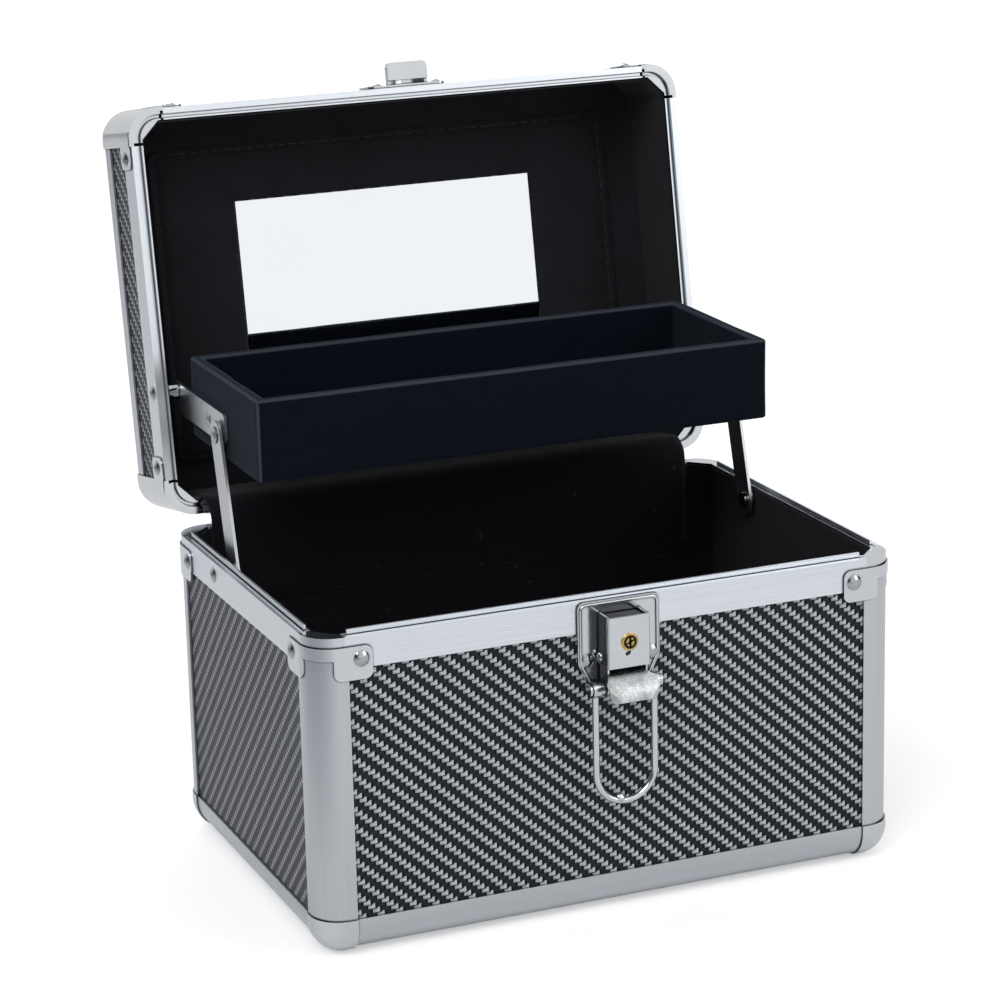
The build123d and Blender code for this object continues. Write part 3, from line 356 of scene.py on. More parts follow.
def worn_recipe(wire):
    """A lever that thumbs have worn: dull grey plating in patches, with rough scuffs and painted shade in its
    creases.
    """
    here = place(wire, False)
    pale_share = grain(here, [150.0] * 3, 4.0, 0.7)
    scuffs = grain(here, [260.0, 1900.0, 1900.0], 3.0)
    patina = blend((0.34, 0.345, 0.34), (0.56, 0.585, 0.60), ((pale_share - 0.36) * 4.0).clamped())
    return {
        "Base Color": blend(CREASE_SHADE_BLACK, patina, crease_light_share(wire, 0.8, 1.8)),
        "Metallic": 1.0,
        "Roughness": 0.14 + pale_share * 0.22 + (scuffs > 0.62) * 0.12,
        "Normal": relief(pale_share * 0.7 + scuffs * 0.3, 0.35),
    }


worn_plate = finish("worn_lever_plate", worn_recipe)
lock_steel = finish("lock_housing_steel", lock_recipe)
shade_black_metal = finish("painted_shade_black", shade_black_recipe)
print("latch finishes:", worn_plate.name, lock_steel.name, shade_black_metal.name)


# %% Pressed rim corners
FLUSH_X, FLUSH_Y = 125.05 * MM, 85.05 * MM
CORE_LOW, CORE_HIGH = 112.0 * MM, 121.0 * MM


def corner_recipe(wire):
    """Chrome outside, and a soft satin on the flush core that shows between the tabs."""
    here = place(wire, False)
    x, y, z = split(here)
    handled = grain(here, [70.0] * 3, 4.0, 0.65)
    core = (abs(x) < FLUSH_X) * (abs(y) < FLUSH_Y) * (z < CORE_HIGH) * (z > CORE_LOW)
    plating = blend((0.60, 0.63, 0.66), (0.67, 0.71, 0.745), handled)
    satin = blend((0.50, 0.53, 0.56), (0.57, 0.605, 0.64), handled)
    return {
        # creases between pieces darken to painted shade
        "Base Color": blend(CREASE_SHADE_BLACK, blend(plating, satin, core), crease_light_share(wire)),
        "Metallic": 1.0,
        "Roughness": 0.10 + handled * 0.12 + core * 0.14,
        "Normal": relief(grain(here, [420.0] * 3, 1.0), 0.012),
    }


rim_corner_plate = finish("rim_corner_plate", corner_recipe)
print("corner finish:", rim_corner_plate.name)

# %% [markdown]
# ## The carbon-look board
# The boards are faced with a printed laminate that copies a two-by-two twill of carbon fibre. In a
# twill each light thread passes over two dark ones and starts one thread later in the next row, which
# draws the stair-step diagonals. The same counting makes the pattern here: the row number is added to
# the place along the row, and the remainder after four says which thread is on top. A picture would do
# it too, but the count stays sharp at any distance and needs no file.

# %% Twill laminate
FRONT_THREAD = (1.897 * MM, 1.767 * MM)
SIDE_THREAD = (1.830 * MM, 1.896 * MM)


def twill(name, along, up, of_lid, pitch, light, middle, black, length):
    """Two-by-two twill whose rows run along one axis and stack along another, by a pitch for each."""

    def recipe(wire):
        here = place(wire, of_lid)
        axes = dict(zip("xyz", split(here)))
        u = axes[along] / pitch[0] + 200.5
        v = axes[up] / pitch[1] + 200.5
        row = v.floor()
        # step counts threads from the start of a light one, and side is -0.5 to 0.5 across it
        step = (u + row) % 4.0
        side = v - row - 0.5
        # a light thread starts on a slant, and a sliver of the next row's shows beyond its end
        slant = (step > 0.85).most(side < 0.30)
        body = (step < length) * slant
        crown = (step > 2.05) * (step < length + 1.0) * (side < -0.34)
        light_thread = body.most(crown)
        hollow = ((step > length) * (step < length + 0.5)).most(step > 3.55) * (1.0 - crown)
        lengthwise, crosswise = [340.0] * 3, [340.0] * 3
        lengthwise["xyz".index(up)] = 5200.0
        crosswise["xyz".index(along)] = 5200.0
        glint = grain(here, lengthwise, 2.0)
        dull = grain(here, crosswise, 2.0)
        batch = grain(here, [9.0] * 3, 2.0)
        arch = 1.0 - side * side * 1.7
        on_top = (0.50 + 0.34 * step.least(1.3)) * arch * (0.66 + 0.66 * glint) * (0.92 + 0.16 * batch)
        below = (0.35 + 1.2 * dull) * (1.0 - side * side * 2.4)
        weft = blend(tuple(c * 0.2 for c in light), light, on_top.most(crown * 0.95).clamped())
        warp = blend(black, middle, below.clamped())
        ground = blend(warp, black, hollow)
        height = light_thread * on_top + (1.0 - light_thread) * (0.35 - 0.35 * hollow)
        return {
            "Base Color": blend(ground, weft, light_thread),
            "Roughness": 0.42 + 0.10 * glint,
            "Specular IOR Level": 0.14,
            "Normal": relief(height, 0.03, 0.6),
        }

    return finish(name, recipe)


# each look is a pitch, the light, dark and hollow colours, and a light thread's length in pitches
FRONT_LOOK = (FRONT_THREAD, (0.560, 0.595, 0.635), (0.018, 0.021, 0.027), (0.0025, 0.003, 0.005), 1.50)
# the side boards' colours are painted sheen: seen aslant, their dark threads are lighter and their light
# threads darker
SIDE_SHEEN_LOOK = (SIDE_THREAD, (0.395, 0.410, 0.440), (0.054, 0.057, 0.068), (0.020, 0.021, 0.028), 1.35)
boards = {
    "base_front_panel": twill("twill_front", "x", "z", False, *FRONT_LOOK),
    "base_left_panel": twill("twill_side", "y", "z", False, *SIDE_SHEEN_LOOK),
    "base_floor_panel": twill("twill_floor", "x", "y", False, *FRONT_LOOK),
    "lid_front_panel": twill("twill_lid_front", "x", "z", True, *FRONT_LOOK),
    "lid_left_panel": twill("twill_lid_side", "y", "z", True, *SIDE_SHEEN_LOOK),
    "lid_top_panel": twill("twill_lid_top", "x", "y", True, *FRONT_LOOK),
}
print("twill thread:", [round(x / MM, 2) for x in FRONT_THREAD], "mm")

# %% [markdown]
# ## Cloth, velvet, glass, brass and moulded plastic
# The lining is a thin black woven cloth, almost without shine. The tray is flocked velvet: its pile
# stands on end, so it is darkest face-on, and a painted sheen turns it pale along every edge. That edge is
# found from the tray's own sizes, where two of its rounded faces meet. Sheen does the rest.

# %% Soft finishes
TRAY_LOW, TRAY_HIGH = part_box("tray_shell")
TRAY_MIDDLE = (TRAY_LOW + TRAY_HIGH) / 2
TRAY_HALF = (TRAY_HIGH - TRAY_LOW) / 2
TRAY_WALL = 4.5 * MM
PILE = 1.3 * MM


def lining_recipe(wire):
    """Thin black woven cloth with a nap and a few bits of lint."""
    here = place(wire, False)
    x, y, z = split(here)
    weave = (x * 7400.0).sine() * ((y + z) * 7400.0).sine()
    nap = grain(here, [900.0] * 3, 3.0)
    patches = grain(here, [18.0] * 3, 3.0)
    lint = (grain(here, [310.0] * 3, 0.0) > 0.86) * 0.5
    black = blend((0.0026, 0.0025, 0.0046), (0.0080, 0.0078, 0.0128), nap * 0.5 + patches * 0.5)
    return {
        "Base Color": blend(black, (0.05, 0.05, 0.06), lint),
        "Roughness": 0.86,
        "Specular IOR Level": 0.18,
        "Sheen Weight": 0.12,
        "Sheen Roughness": 0.4,
        "Normal": relief(weave * 0.5 + nap, 0.10),
    }


def velvet_recipe(wire):
    """Flocked velvet, with a painted sheen that makes it pale where two rounded faces of the tray meet."""
    here = place(wire, False)
    x, y, z = split(here)
    out_x = abs(x) - (TRAY_HALF.x - PILE)
    out_y = abs(y - TRAY_MIDDLE.y) - (TRAY_HALF.y - PILE)
    out_z = z - (TRAY_HIGH.z - PILE)
    in_x = (TRAY_HALF.x - TRAY_WALL + PILE) - abs(x)
    in_y = (TRAY_HALF.y - TRAY_WALL + PILE) - abs(y - TRAY_MIDDLE.y)
    inside = in_x.least(in_y).least(out_z)
    outer = out_x.least(out_y).most(out_x.least(out_z)).most(out_y.least(out_z))
    pile = grain(here, [2400.0] * 3, 3.0, 0.7)
    stroke = grain(here, [60.0, 60.0, 150.0], 4.0, 0.6)
    # painted sheen: the colour turns pale along the tray's edges
    pale_share = (outer.most(inside) * (3.2 / PILE) * (0.45 + pile * 1.1)).clamped()
    dark = blend((0.0010, 0.0022, 0.0046), (0.0062, 0.0098, 0.0172), pile * 0.65 + stroke * 0.35)
    return {
        "Base Color": blend(dark, (0.050, 0.060, 0.074), pale_share * 0.75),
        "Roughness": 0.95,
        "Specular IOR Level": 0.06,
        "Sheen Weight": 0.13,
        "Sheen Roughness": 0.35,
        "Sheen Tint": (0.55, 0.66, 0.82),
        "Normal": relief(pile, 0.22),
    }


def thread_recipe(wire):
    """Black sewing thread with its twist, whose colour swings with a painted highlight along each turn."""
    twist = (split(place(wire, False))[0] * 9000.0).sine()
    return {
        "Base Color": blend((0.018, 0.018, 0.022), (0.060, 0.060, 0.068), twist * 0.5 + 0.5),
        "Roughness": 0.7,
        "Normal": relief(twist, 0.05),
    }


def lit_lid_recipe(wire):
    """A lighter copy of the lining for the lid's cloth, which hangs in the light: painted light."""
    made = lining_recipe(wire)
    patches = grain(place(wire, True), [60.0] * 3, 4.0, 0.6)
    made["Base Color"] = blend((0.0062, 0.0062, 0.0088), (0.0165, 0.0165, 0.0215), patches)
    return made


lining_cloth = finish("black_lining", lining_recipe)
lit_lid_lining = finish("lit_lid_lining", lit_lid_recipe)
velvet = finish("tray_velvet", velvet_recipe)
thread = finish("black_thread", thread_recipe)
print("tray is", [round(x * 2000, 1) for x in TRAY_HALF], "mm over its velvet")


# %% Hard finishes
KEY_LEVEL = 114.8 * MM


def mirror_recipe(wire):
    """Silvered glass with a faint film and specks of dust."""
    here = place(wire, True)
    film = grain(here, [14.0] * 3, 2.0)
    dust = grain(here, [1500.0] * 3, 1.0) > 0.74
    return {
        "Base Color": blend((0.84, 0.875, 0.905), (0.885, 0.915, 0.94), film),
        "Metallic": 1.0,
        "Roughness": 0.012 + film * 0.016 + dust * 0.10,
    }


def brass_recipe(wire):
    """Turned brass, worn bright in places."""
    here = place(wire, False)
    worn = grain(here, [900.0] * 3, 3.0)
    turned = grain(here, [6000.0, 40.0, 900.0], 1.0)
    return {
        "Base Color": blend((0.42, 0.27, 0.08), (0.86, 0.66, 0.30), worn),
        "Metallic": 1.0,
        "Roughness": 0.16 + worn * 0.2,
        "Normal": relief(turned, 0.02),
    }


def plug_recipe(wire):
    """The plug's face: a worn brass core, painted shade in the gap round it and in its key slot, and a bright
    outer ring.
    """
    made = brass_recipe(wire)
    here = place(wire, False)
    x, _, z = split(here)
    x, z = x - LATCH_X, z - KEY_LEVEL
    reach = wire.sum("SQRT", x * x + z * z)
    # painted shade: the gap round the plug and its key slot are painted near black
    gap = (reach > 1.75 * MM) * (reach < 2.75 * MM)
    slot = (abs(x * 0.45 - z) < 0.42 * MM) * (reach < 1.9 * MM)
    core = blend((0.30, 0.19, 0.06), (0.80, 0.62, 0.28), grain(here, [900.0] * 3, 3.0))
    made["Base Color"] = blend(core, (0.012, 0.008, 0.004), gap.most(slot) * 0.97)
    return made


def grip_recipe(wire):
    """Black plastic, moulded with a leather grain."""
    here = place(wire, True)
    leather = here.node("TexVoronoi", None, {"Vector": here, "Scale": 900.0})
    polish = grain(here, [55.0] * 3, 3.0)
    return {
        "Base Color": blend((0.014, 0.014, 0.016), (0.030, 0.030, 0.034), polish),
        "Roughness": 0.38 + polish * 0.22,
        "Normal": relief(leather, 0.10),
    }


silvered = finish("silvered_glass", mirror_recipe)
brass = finish("lock_brass", brass_recipe)
key_brass = finish("key_plug_brass", plug_recipe)
moulded = finish("moulded_grip", grip_recipe)
print("hard finishes:", silvered.name, brass.name, moulded.name)

# %% [markdown]
# ## Dress the packed pieces
# Each hard piece of the case keeps its solid and only gets a finish. The extrusions are told which way
# they were drawn, because the brushing has to run along them.

# %% Hand out the finishes
worn_by = dict(boards)
for side, axis in (("front", "x"), ("back", "x"), ("left", "y"), ("right", "y")):
    worn_by[f"base_foot_rail_{side}"] = brushed_along[axis, False]
    worn_by[f"base_rim_{side}"] = ribbed_along[axis, False]
    worn_by[f"lid_rim_{side}"] = ribbed_along[axis, True]
    worn_by[f"lid_top_edge_{side}"] = brushed_along[axis, True]
for corner in ("front_left", "front_right", "back_left", "back_right"):
    worn_by[f"base_upright_{corner}"] = brushed_along["z", False]
for half in ("base", "lid"):
    worn_by[f"{half}_back_panel"] = boards[f"{half}_front_panel"]
    worn_by[f"{half}_right_panel"] = boards[f"{half}_left_panel"]
for node in ("base_foot_corners", "latch_plate"):
    worn_by[node] = chrome
worn_by.update({"lock_housing": lock_steel, "latch_lever": worn_plate, "base_rim_corners": rim_corner_plate})
for node in ("latch_bail", "latch_pin", "lid_corners", "lid_catch", "handle_brackets"):
    worn_by[node] = chrome_of_lid if node.startswith(("lid", "handle")) else chrome
for node in ("base_rivets", "lid_rivets", "tray_rivets", "arm_pivot_studs", "tray_pivot_studs"):
    worn_by[node] = nickel
for node in ("hinge_base_leaves", "hinge_lid_leaves", "hinge_pins"):
    worn_by[node] = strip_steel
for node in ("lift_arm_left", "lift_arm_right", "tray_bar_left", "tray_bar_right"):
    worn_by[node] = strip_steel
worn_by.update({"mirror": silvered, "key_cylinder": key_brass, "handle_grip": moulded})
worn_by.update({"base_lining": lining_cloth, "lid_lining": lining_cloth, "tray_shell": velvet})
worn_by.update({"hinge_flap_base": lining_cloth, "hinge_flap_lid": lining_cloth})
for node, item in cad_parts.items():
    if not item.material_slots:
        item.data.materials.append(None)
    for slot in item.material_slots:
        slot.material = worn_by[node]
print(len(worn_by), "of", len(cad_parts), "solids dressed")

# %% [markdown]
# ## Shapes from rings
# Lining, pad and tray are all skins that go round and round: a rectangle with soft corners that climbs
# a wall, turns over an edge and comes back. A box with a bevel could pass for them, but its faces stay
# dead flat. Here each ring is a list of points, neighbouring rings are joined by quads, and a little
# noise lets the cloth breathe.


# %% Rings and skins
QUARTERS = ((1, 1), (-1, 1), (-1, -1), (1, -1))


def ring(half_x, half_y, corner, level, middle=(0.0, 0.0), roundness=1.0, per_side=22, per_corner=6):
    """Points round a rectangle at one level. Its corners go from cut, 0, to round, 1."""
    points = []
    corner = max(min(corner, half_x * 0.98, half_y * 0.98), 1e-5)
    for quarter, (sx, sy) in enumerate(QUARTERS):
        turned = quarter % 2
        for k in range(per_corner):
            share = k / (per_corner - 1)
            angle = (1 - share if turned else share) * pi / 2
            arc = Vector((cos(angle), sin(angle)))
            cut = Vector((1 - angle / (pi / 2), angle / (pi / 2)))
            spot = cut.lerp(arc, roundness)
            out_x, out_y = half_x - corner + corner * spot.x, half_y - corner + corner * spot.y
            points.append(Vector((sx * out_x, sy * out_y)))
        start = points[-1]
        nx, ny = QUARTERS[(quarter + 1) % 4]
        if turned:
            end = Vector((nx * half_x, ny * (half_y - corner)))
        else:
            end = Vector((nx * (half_x - corner), ny * half_y))
        points.extend(start.lerp(end, (k + 1) / (per_side + 1)) for k in range(per_side))
    return [Vector((p.x + middle[0], p.y + middle[1], level)) for p in points]


def skin(name, rings, material, ends=(True, True), matrix=AS_MADE):
    """A mesh through the rings in turn, with or without a lid on its first and last one."""
    count = len(rings[0])
    points = [matrix @ p for loop in rings for p in loop]
    faces = []
    for level in range(len(rings) - 1):
        for k in range(count):
            a, b = level * count + k, level * count + (k + 1) % count
            faces.append((a, b, b + count, a + count))
    if ends[0]:
        faces.append(tuple(reversed(range(count))))
    if ends[1]:
        faces.append(tuple((len(rings) - 1) * count + k for k in range(count)))
    return piece(name, points, faces, material)


def piece(name, points, faces, material):
    """A new smooth object from points and faces, with its faces turned outwards."""
    mesh = bpy.data.meshes.new(name)
    mesh.from_pydata([tuple(p) for p in points], [], faces)
    work = bmesh.new()
    work.from_mesh(mesh)
    bmesh.ops.recalc_face_normals(work, faces=work.faces)
    work.to_mesh(mesh)
    work.free()
    mesh.materials.append(material)
    mesh.polygons.foreach_set("use_smooth", [True] * len(mesh.polygons))
    made = bpy.data.objects.new(name, mesh)
    bpy.context.scene.collection.objects.link(made)
    return made


def drift(spot):
    """Smooth noise in three directions. The library's noise_vector differs from run to run."""
    starts = ((9.3, -1.5, -7.9), (0.0, 0.0, 0.0), (6.3, 0.2, -2.7))
    return Vector([noise.noise(spot + Vector(start)) for start in starts])


def ruffle(rings, amount, size, seed):
    """Moves each point by smooth noise of that amount in metres, with bumps of that size."""
    offset = Vector((seed * 7.1, seed * 3.3, seed * 5.7))
    return [[p + drift(p / size + offset) * amount for p in loop] for loop in rings]


def turn_over(start, end, leaves=1, steps=5):
    """A quarter round from one pair (inset, level) to another. It leaves upright, 1, or level, -1."""
    (i0, z0), (i1, z1) = start, end
    for k in range(1, steps + 1):
        angle = k / steps * pi / 2
        if leaves > 0:
            yield i0 + (i1 - i0) * (1 - cos(angle)), z0 + (z1 - z0) * sin(angle)
        else:
            yield i0 + (i1 - i0) * sin(angle), z0 + (z1 - z0) * (1 - cos(angle))


print("points in one ring:", len(ring(0.1, 0.05, 0.01, 0.0)))

# %% [markdown]
# ## The velvet tray
# The real tray is a wooden frame, wrapped and flocked, so every edge is round and slightly plump. One
# closed skin does it: out from the middle of its underside, up the outside, over the rim, down the
# inside and back to the middle of its floor.

# %% Tray skin
TRAY_FLOOR, TRAY_CORNER = 3.0 * MM, 1.6 * MM


def tray_profile():
    """(inset from the outer face, height) pairs of the tray's section, from under to inside."""
    low, high = TRAY_LOW.z, TRAY_HIGH.z
    floor_top, floor_turn = low + TRAY_FLOOR, low + TRAY_FLOOR + 2 * PILE
    flat = TRAY_HALF.y - 2 * MM
    section = [(flat, low), (flat * 0.5, low), (6 * MM, low), (PILE, low)]
    section += list(turn_over((PILE, low), (0.0, low + PILE), -1))
    section += [(0.0, low + (high - low) * k / 8) for k in range(1, 8)]
    section += [(0.0, high - PILE)] + list(turn_over((0.0, high - PILE), (PILE, high), 1))
    section += [(TRAY_WALL / 2, high + 0.1 * MM), (TRAY_WALL - PILE, high)]
    section += list(turn_over((TRAY_WALL - PILE, high), (TRAY_WALL, high - PILE), -1))
    section += [(TRAY_WALL, high - (high - low) * k / 8) for k in range(1, 7)]
    section += [(TRAY_WALL, floor_turn)]
    section += list(turn_over((TRAY_WALL, floor_turn), (TRAY_WALL + 2 * PILE, floor_top), 1))
    section += [(12 * MM, floor_top), (24 * MM, floor_top), (flat, floor_top)]
    return section


tray_rings = []
for inset, level in tray_profile():
    corner = max(TRAY_CORNER - inset * 0.7, 1.0 * MM)
    tray_rings.append(
        ring(TRAY_HALF.x - inset, TRAY_HALF.y - inset, corner, level, (0.0, TRAY_MIDDLE.y), 1.0, 40)
    )
tray_velvet = skin("tray_velvet_skin", ruffle(tray_rings, 0.22 * MM, 24 * MM, 1), velvet)
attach(tray_velvet, "tray")
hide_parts("tray_shell")
print("tray skin:", len(tray_velvet.data.polygons), "faces")

# %% [markdown]
# ## The linings
# Black cloth is glued over board inside both halves. In the base it is one folded shell with soft cut
# corners. The lid's shell frames a window, and a thin pad with a sewn border lies round the mirror.
# A simulated cloth would only find the same boards again, so the folds are drawn and slightly ruffled.

# %% Base lining
HALF_X, HALF_Y = 120 * MM, 80 * MM
LINING = 0.8 * MM
WEB_CUT = 7.5 * MM
FOLD = 7.1 * MM
BASE_TOP, BASE_FLOOR = 129 * MM, 5.6 * MM


def wall_section(top, bottom):
    """(inset, level) pairs down a lined wall: outside its hem, over the edge, down and across the fold."""
    section = [(0.0, top - 4 * MM), (0.0, top - LINING)]
    section += list(turn_over((0.0, top - LINING), (LINING / 2, top), 1, 3))
    section += list(turn_over((LINING / 2, top), (LINING, top - LINING), -1, 3))
    section += [(LINING, top + (bottom - top) * k / 12) for k in range(1, 12)]
    section += [(LINING + FOLD * share, bottom + FOLD * (1 - share)) for share in (0, 0.02, 0.5, 0.98, 1)]
    return section


def lined_ring(inset, level):
    """One ring of a lining, whose upright corners are cut straight across the extrusions' webs."""
    inside_wall = min(inset, LINING)
    cut = max(WEB_CUT - 0.586 * inside_wall - (inset - inside_wall), 0.5 * MM)
    return ring(HALF_X - inset, HALF_Y - inset, cut, level, (0, 0), 0.0, 30)


base_rings = [lined_ring(inset, level) for inset, level in wall_section(BASE_TOP, BASE_FLOOR + LINING)]
for share in (0.12, 0.25, 0.4, 0.55, 0.7, 0.85, 0.97):
    inset = LINING + FOLD + (HALF_Y - 10 * MM) * share
    base_rings.append(ring(HALF_X - inset, HALF_Y - inset, 0.5 * MM, BASE_FLOOR + LINING, (0, 0), 0.0, 30))
base_cloth = skin("base_lining_cloth", ruffle(base_rings, 0.05 * MM, 30 * MM, 2), lining_cloth, (False, True))
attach(base_cloth, "base")
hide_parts("base_lining")
print("base lining:", len(base_cloth.data.polygons), "faces")

# %% Lid lining
LID_MOUTH, LID_BACK = 131 * MM, (130 + 43.3) * MM
MIRROR_X, MIRROR_Y = 69 * MM, 42.5 * MM
WINDOW_GAP = 0.45 * MM

# the lid's walls run the other way, so their levels are turned over
lid_rings = [lined_ring(inset, -level) for inset, level in wall_section(-LID_MOUTH, -LID_BACK)]
start_x, start_y = HALF_X - LINING - FOLD, HALF_Y - LINING - FOLD
for share in (0.3, 0.65, 1.0):
    half_x = start_x + (MIRROR_X + WINDOW_GAP - start_x) * share
    half_y = start_y + (MIRROR_Y + WINDOW_GAP - start_y) * share
    lid_rings.append(ring(half_x, half_y, 0.5 * MM, LID_BACK, (0, 0), 0.0, 30))
lid_rings = ruffle(lid_rings, 0.05 * MM, 30 * MM, 3)
lid_cloth = skin("lid_lining_cloth", lid_rings, lit_lid_lining, (False, False), AS_OPEN)
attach(lid_cloth, "lid")
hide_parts("lid_lining")
print("lid lining:", len(lid_cloth.data.polygons), "faces")

# %% Sewn pad round the mirror
PAD_X, PAD_Y = 107.2 * MM, 67.2 * MM
PAD_FRONT = (130 + 41.7) * MM
SEAM_IN = 3.2 * MM


def pad_section():
    """(share of the way to the window, level) pairs across the pad, with a channel for the seam."""
    front, crown = PAD_FRONT, 0.35 * MM
    seam = SEAM_IN / (PAD_X - MIRROR_X - WINDOW_GAP)
    section = [(0.0, LID_BACK), (0.0, LID_BACK - 0.7 * MM), (0.008, front + 0.35 * MM), (0.022, front)]
    section += [(seam - 0.020, front), (seam, front + 0.55 * MM), (seam + 0.020, front)]
    section += [(0.2, front - crown * 0.7), (0.45, front - crown), (0.7, front - crown * 0.8)]
    section += [(0.92, front), (0.975, front + 0.25 * MM), (1.0, front + 0.9 * MM), (1.0, LID_BACK)]
    return section


def pad_ring(share, level):
    """One ring of the pad between its outer edge and the mirror's window."""
    half_x = PAD_X + (MIRROR_X + WINDOW_GAP - PAD_X) * share
    half_y = PAD_Y + (MIRROR_Y + WINDOW_GAP - PAD_Y) * share
    return ring(half_x, half_y, 4 * MM * (1 - share) + 0.3 * MM, level, (0, 0), 1.0, 44)


pad_rings = [pad_ring(share, level) for share, level in pad_section()]
pad = skin("lid_pad", ruffle(pad_rings, 0.12 * MM, 20 * MM, 4), lit_lid_lining, (False, False), AS_OPEN)
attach(pad, "lid")
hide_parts("lid_lining")
print("pad:", len(pad.data.polygons), "faces")

# %% [markdown]
# ## Stitches
# Each stitch is a short, fat piece of thread that dives into the cloth at both ends. One mesh holds the
# whole row, because nobody picks at a single stitch. The same tube helper later draws beads and rings.


# %% Tubes and stitches
def tube(path, radius, around=8, closed=False, taper=0.0):
    """Points and faces of a tube along a path. Taper narrows both ends of an open one."""
    points, faces = [], []
    count = len(path)
    for k, centre in enumerate(path):
        before = path[(k - 1) % count] if closed or k else path[0]
        after = path[(k + 1) % count] if closed or k < count - 1 else path[-1]
        ahead = (after - before).normalized()
        side = ahead.orthogonal().normalized() if k == 0 else (side - ahead * side.dot(ahead)).normalized()
        other = ahead.cross(side)
        share = k / (count - 1)
        size = radius * (1 - taper * abs(2 * share - 1) ** 3)
        for a in range(around):
            angle = 2 * pi * a / around
            points.append(centre + (side * cos(angle) + other * sin(angle)) * size)
    for k in range(count if closed else count - 1):
        for a in range(around):
            b = (a + 1) % around
            next_k = (k + 1) % count
            faces.append((k * around + a, k * around + b, next_k * around + b, next_k * around + a))
    if not closed:
        faces.append(tuple(reversed(range(around))))
        faces.append(tuple((count - 1) * around + a for a in range(around)))
    return points, faces


def gather(parts):
    """Several (points, faces) as one."""
    points, faces = [], []
    for more_points, more_faces in parts:
        faces += [tuple(i + len(points) for i in face) for face in more_faces]
        points += more_points
    return points, faces


def stitches(start, end, inward, length=3.4 * MM, gap=1.5 * MM, radius=0.17 * MM):
    """A row of stitches from start to end that lies on a cloth. Inward points into the cloth."""
    run = (end - start).length
    count = int(run / (length + gap))
    ahead = (end - start).normalized()
    row = []
    for k in range(count):
        first = start + ahead * (k * run / count)
        lean = ahead.cross(inward) * (0.08 * MM * noise.noise(first * 900))
        path = []
        for step in range(7):
            share = step / 6
            sink = (2 * share - 1) ** 4
            path.append(first + ahead * (length * share) + lean + inward * (radius * 1.6 * sink))
        row.append(tube(path, radius, 6, False, 0.35))
    return gather(row)


seam_level = PAD_FRONT + 0.30 * MM
seam_x, seam_y = PAD_X - SEAM_IN, PAD_Y - SEAM_IN * 0.65
seam_corners = [
    Vector((sx * seam_x, sy * seam_y, seam_level)) for sx, sy in ((-1, -1), (1, -1), (1, 1), (-1, 1))
]
seam_rows = []
for near, far in zip(seam_corners, seam_corners[1:] + seam_corners[:1]):
    seam_rows.append(stitches(near.lerp(far, 0.03), near.lerp(far, 0.97), Vector((0, 0, 1))))
points, faces = gather(seam_rows)
pad_stitches = piece("lid_pad_stitches", [AS_OPEN @ p for p in points], faces, thread)
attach(pad_stitches, "lid")
print("stitched border:", len(pad_stitches.data.polygons), "faces")

# %% [markdown]
# ## The cloth over the hinge
# A strip of the same cloth is glued inside the back of the base and inside the lid, and hides the gap
# between them. It has to bend as the lid turns, so it is one sheet that follows the base at one end and
# the lid at the other. Round the gap it runs on an arc about the hinge, the only line that keeps its
# length while the lid moves.

# %% Hinge cloth
FLAP_HALF = 110 * MM
FLAP_THICK = 0.5 * MM
base_line, lid_line = 78.85 * MM, 78.75 * MM
flap_path = [Vector((0, base_line, z * MM)) for z in (95, 99, 104, 110, 116, 121, 125, 127.5)]
first_arm = Vector((0, base_line, 129 * MM)) - HINGE
last_arm = Vector((0, lid_line, 131 * MM)) - HINGE
for k in range(13):
    share = k / 12
    arm = first_arm.lerp(last_arm, share)
    turned = Matrix.Rotation(-OPEN_ANGLE * share, 4, "X") @ arm
    bulge = 1 + 0.06 * sin(pi * share)
    flap_path.append(HINGE + turned * bulge)
flap_path += [AS_OPEN @ Vector((0, lid_line, z * MM)) for z in (133, 136, 140, 145, 150, 155, 160)]

flap_points, flap_faces = [], []
columns = 72
for k, spot in enumerate(flap_path):
    length_share = k / (len(flap_path) - 1)
    for c in range(columns + 1):
        across = -1 + 2 * c / columns
        crease = noise.noise(Vector((across * 9, length_share * 2.2, 4.2))) * 0.35 * MM
        crease *= sin(pi * length_share)
        fray = 0.25 * MM * noise.noise(Vector((length_share * 12, across * 3, 1.0)))
        away = (spot - HINGE).normalized()
        flap_points.append(Vector((across * FLAP_HALF + fray, 0, 0)) + spot + away * crease)
for k in range(len(flap_path) - 1):
    for c in range(columns):
        a = k * (columns + 1) + c
        flap_faces.append((a, a + 1, a + columns + 2, a + columns + 1))
hinge_cloth = piece("hinge_cloth", flap_points, flap_faces, lining_cloth)
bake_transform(hinge_cloth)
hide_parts("hinge_flap_base", "hinge_flap_lid")
flap_length = sum((b - a).length for a, b in zip(flap_path, flap_path[1:]))
body = hinge_cloth.modifiers.new("cloth thickness", "SOLIDIFY")
body.thickness = FLAP_THICK
body.offset = 0.0
print("hinge cloth:", round(flap_length / MM, 1), "mm long")

# %% [markdown]
# ## Small metal
# The latch plate is stamped with a raised bead inside its edge, and a brass ring frames the key above a
# small notch, drawn as a thin sheet of painted shade. The lock's works fill its housing as a block painted
# near black, painted shade for the dark inside and under the housing. The bail's wire ends meet in a weld,
# and a rivet sits on the housing's flank. They are too fine for the solids, so tubes, rings and low domes
# draw them here.

# %% Stamped bead
PLATE_FACE = -86.2 * MM


def rounded_path(corners, radius, steps=5):
    """A closed path round corners, with a curve of that reach at each."""
    path = []
    count = len(corners)
    for k, corner in enumerate(corners):
        before = (corners[k - 1] - corner).normalized() * radius
        after = (corners[(k + 1) % count] - corner).normalized() * radius
        for step in range(steps + 1):
            t = step / steps
            path.append(corner + before * (1 - t) ** 2 + after * t**2)
    return path


